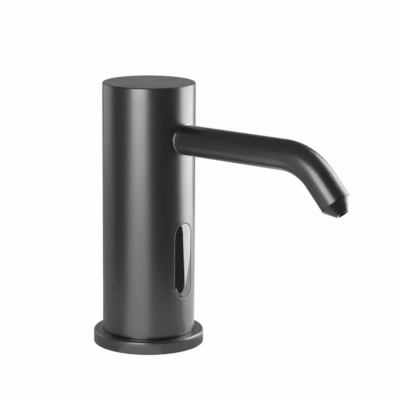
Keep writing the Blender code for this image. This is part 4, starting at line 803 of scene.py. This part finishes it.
def floor():
    """The pale floor, white to the camera but for a trace of shadow, and clear from below."""
    bm = bmesh.new()
    bmesh.ops.create_grid(bm, x_segments=1, y_segments=1, size=FLOOR_SIZE)
    bmesh.ops.translate(bm, verts=bm.verts, vec=(0, 0, -FLOOR_GAP))
    mesh = bpy.data.meshes.new("floor")
    bm.to_mesh(mesh)
    bm.free()
    material = bpy.data.materials.new("pale_floor")
    material.use_nodes = True
    nodes, links = material.node_tree.nodes, material.node_tree.links
    nodes.clear()
    out = nodes.new("ShaderNodeOutputMaterial")
    matt = nodes.new("ShaderNodeBsdfDiffuse")
    matt.inputs["Color"].default_value = (FLOOR_GREY, FLOOR_GREY, FLOOR_GREY, 1)
    glow = nodes.new("ShaderNodeEmission")
    mix = nodes.new("ShaderNodeMixShader")
    clear = nodes.new("ShaderNodeBsdfTransparent")
    side = nodes.new("ShaderNodeNewGeometry")
    under = nodes.new("ShaderNodeMixShader")
    links.new(seen(nodes, links, FLOOR_TO_CAMERA, FLOOR_IN_METAL), mix.inputs[0])
    links.new(matt.outputs[0], mix.inputs[1])
    links.new(glow.outputs[0], mix.inputs[2])
    links.new(side.outputs["Backfacing"], under.inputs[0])
    links.new(mix.outputs[0], under.inputs[1])
    links.new(clear.outputs[0], under.inputs[2])
    links.new(under.outputs[0], out.inputs["Surface"])
    mesh.materials.append(material)
    obj = bpy.data.objects.new("floor", mesh)
    bpy.context.scene.collection.objects.link(obj)


def backdrop():
    """The white backdrop. Metal and glass mirror it near the horizon, and a dim room above."""
    world = bpy.data.worlds.new("studio")
    bpy.context.scene.world = world
    world.use_nodes = True
    nodes, links = world.node_tree.nodes, world.node_tree.links
    nodes.clear()
    out = nodes.new("ShaderNodeOutputWorld")
    white = nodes.new("ShaderNodeBackground")
    white.inputs["Color"].default_value = (1, 1, 1, 1)
    room = nodes.new("ShaderNodeBackground")
    room.inputs["Color"].default_value = (1, 1, 1, 1)
    place = nodes.new("ShaderNodeTexCoord")
    split = nodes.new("ShaderNodeSeparateXYZ")
    links.new(place.outputs["Generated"], split.inputs[0])
    rise = nodes.new("ShaderNodeMapRange")
    fall = nodes.new("ShaderNodeMapRange")
    for ramp, values in ((rise, (*ROOM_RISE, ROOM, CEILING)),
                         (fall, (*HORIZON, BACKDROP_IN_METAL, 0))):
        ramp.interpolation_type = "SMOOTHSTEP"
        for socket, value in zip(RANGE_SOCKETS, values):
            ramp.inputs[socket].default_value = value
        links.new(split.outputs["Z"], ramp.inputs["Value"])
    links.new(rise.outputs["Result"], room.inputs["Strength"])
    mix = nodes.new("ShaderNodeMixShader")
    links.new(seen(nodes, links, 1.0, fall.outputs["Result"]), mix.inputs[0])
    links.new(room.outputs[0], mix.inputs[1])
    links.new(white.outputs[0], mix.inputs[2])
    links.new(mix.outputs[0], out.inputs[0])


def studio():
    """The backdrop, the floor, the lamps, and the cards that the metal and the lens mirror."""
    bpy.context.scene.view_settings.view_transform = "Standard"
    backdrop()
    floor()
    lamp("light_front", -41, -7, 0.0, 0.40, FRONT)
    lamp("light_right", 84, 138, 0.0, 0.20, RIGHT)
    lamp("light_right_high", 102, 138, 0.20, 0.60, RIGHT)
    lamp("light_right_soft", 84, 102, 0.20, 0.60, RIGHT_SOFT)
    lamp("light_left", -145, -104, 0.0, 0.35, LEFT)
    outlined("bright_floor", BRIGHT_OUTLINE, TOP_CARD, BRIGHT_FLOOR)
    lying("sheet_front", -50, 2, 0.045, 0.50, FRONT_SHEET)
    lying("sheet_near", -34, 14, 0.0255, 0.045, NEAR_SHEET)
    lying("sheet_left", -178, -146, 0.036, 0.120, LEFT_SHEET)
    lying("sheet_right", 84, 150, 0.034, 0.30, RIGHT_SHEET)
    upright("back", 150, 210, AWAY, 0.05, 0.35, BACK)
    outlined("sheet_lens", LENS_OUTLINE, LOW_CARD, LENS_SHEET)
    outlined("dark_floor", DARK_OUTLINE, MIDDLE_CARD, DARK)
    upright("dark_front", -2, 79, AWAY, 0.0, 0.60, DARK)
    upright("dark_left", -90, -53, NEAR, 0.0, 0.30, GREY)


def camera():
    """The photograph's viewing angle."""
    lens = bpy.data.cameras.new("camera")
    lens.lens = CAMERA_LENS
    lens.sensor_width = CAMERA_SENSOR
    lens.clip_start = CAMERA_CLIP
    obj = bpy.data.objects.new("camera", lens)
    bpy.context.scene.collection.objects.link(obj)
    aim = Matrix.Rotation(CAMERA_HEADING, 3, "Z") @ Matrix.Rotation(CAMERA_TILT, 3, "X")
    obj.location = CAMERA
    obj.rotation_euler = (aim @ Matrix.Rotation(CAMERA_ROLL, 3, "Z")).to_euler()
    bpy.context.scene.camera = obj


def main():
    """Builds the scene."""
    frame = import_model()
    looks = finishes()
    for entry in frame["record"]["subparts"]:
        node = frame["nodes"][entry["node"]]
        node.data.materials.clear()
        node.data.materials.append(looks[entry["material_slot"]])
    at_supply = Matrix.Translation(SUPPLY)
    at_gland = Matrix.Translation(GLAND)
    plan = [
        ("column", column_mesh, "body_shell", "gunmetal_coat", None),
        ("foot", foot_mesh, "base_flange", "gunmetal_coat", None),
        ("spout", spout_mesh, "spout_tube", "gunmetal_coat", None),
        ("nozzle", tip_mesh, "nozzle_tip", "gunmetal_coat", ALONG_DROP),
        ("collar", collar_mesh, "spout_collar", "collar_metal", None),
        ("lens", lens_mesh, "sensor_lens", "smoked_lens", None),
        ("grub_screw", grub_mesh, "shell_grub_screw", "plain_steel", None),
        ("hose_connector", connector_mesh, "supply_connector", "black_plastic", at_supply),
        ("lead_gland", gland_mesh, "cable_gland", "black_rubber", at_gland),
        ("gasket", gasket_mesh, "deck_gasket", "black_rubber", None),
        ("closing_spring", spring_mesh, "valve_spring", "plain_steel", ALONG_DROP),
    ]
    made = {}
    for name, shape, node, slot, at in plan:
        made[name] = piece(name, shape(), "housing", looks[slot], node, at=at)
    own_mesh(made["closing_spring"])
    camera()
    studio()


main()
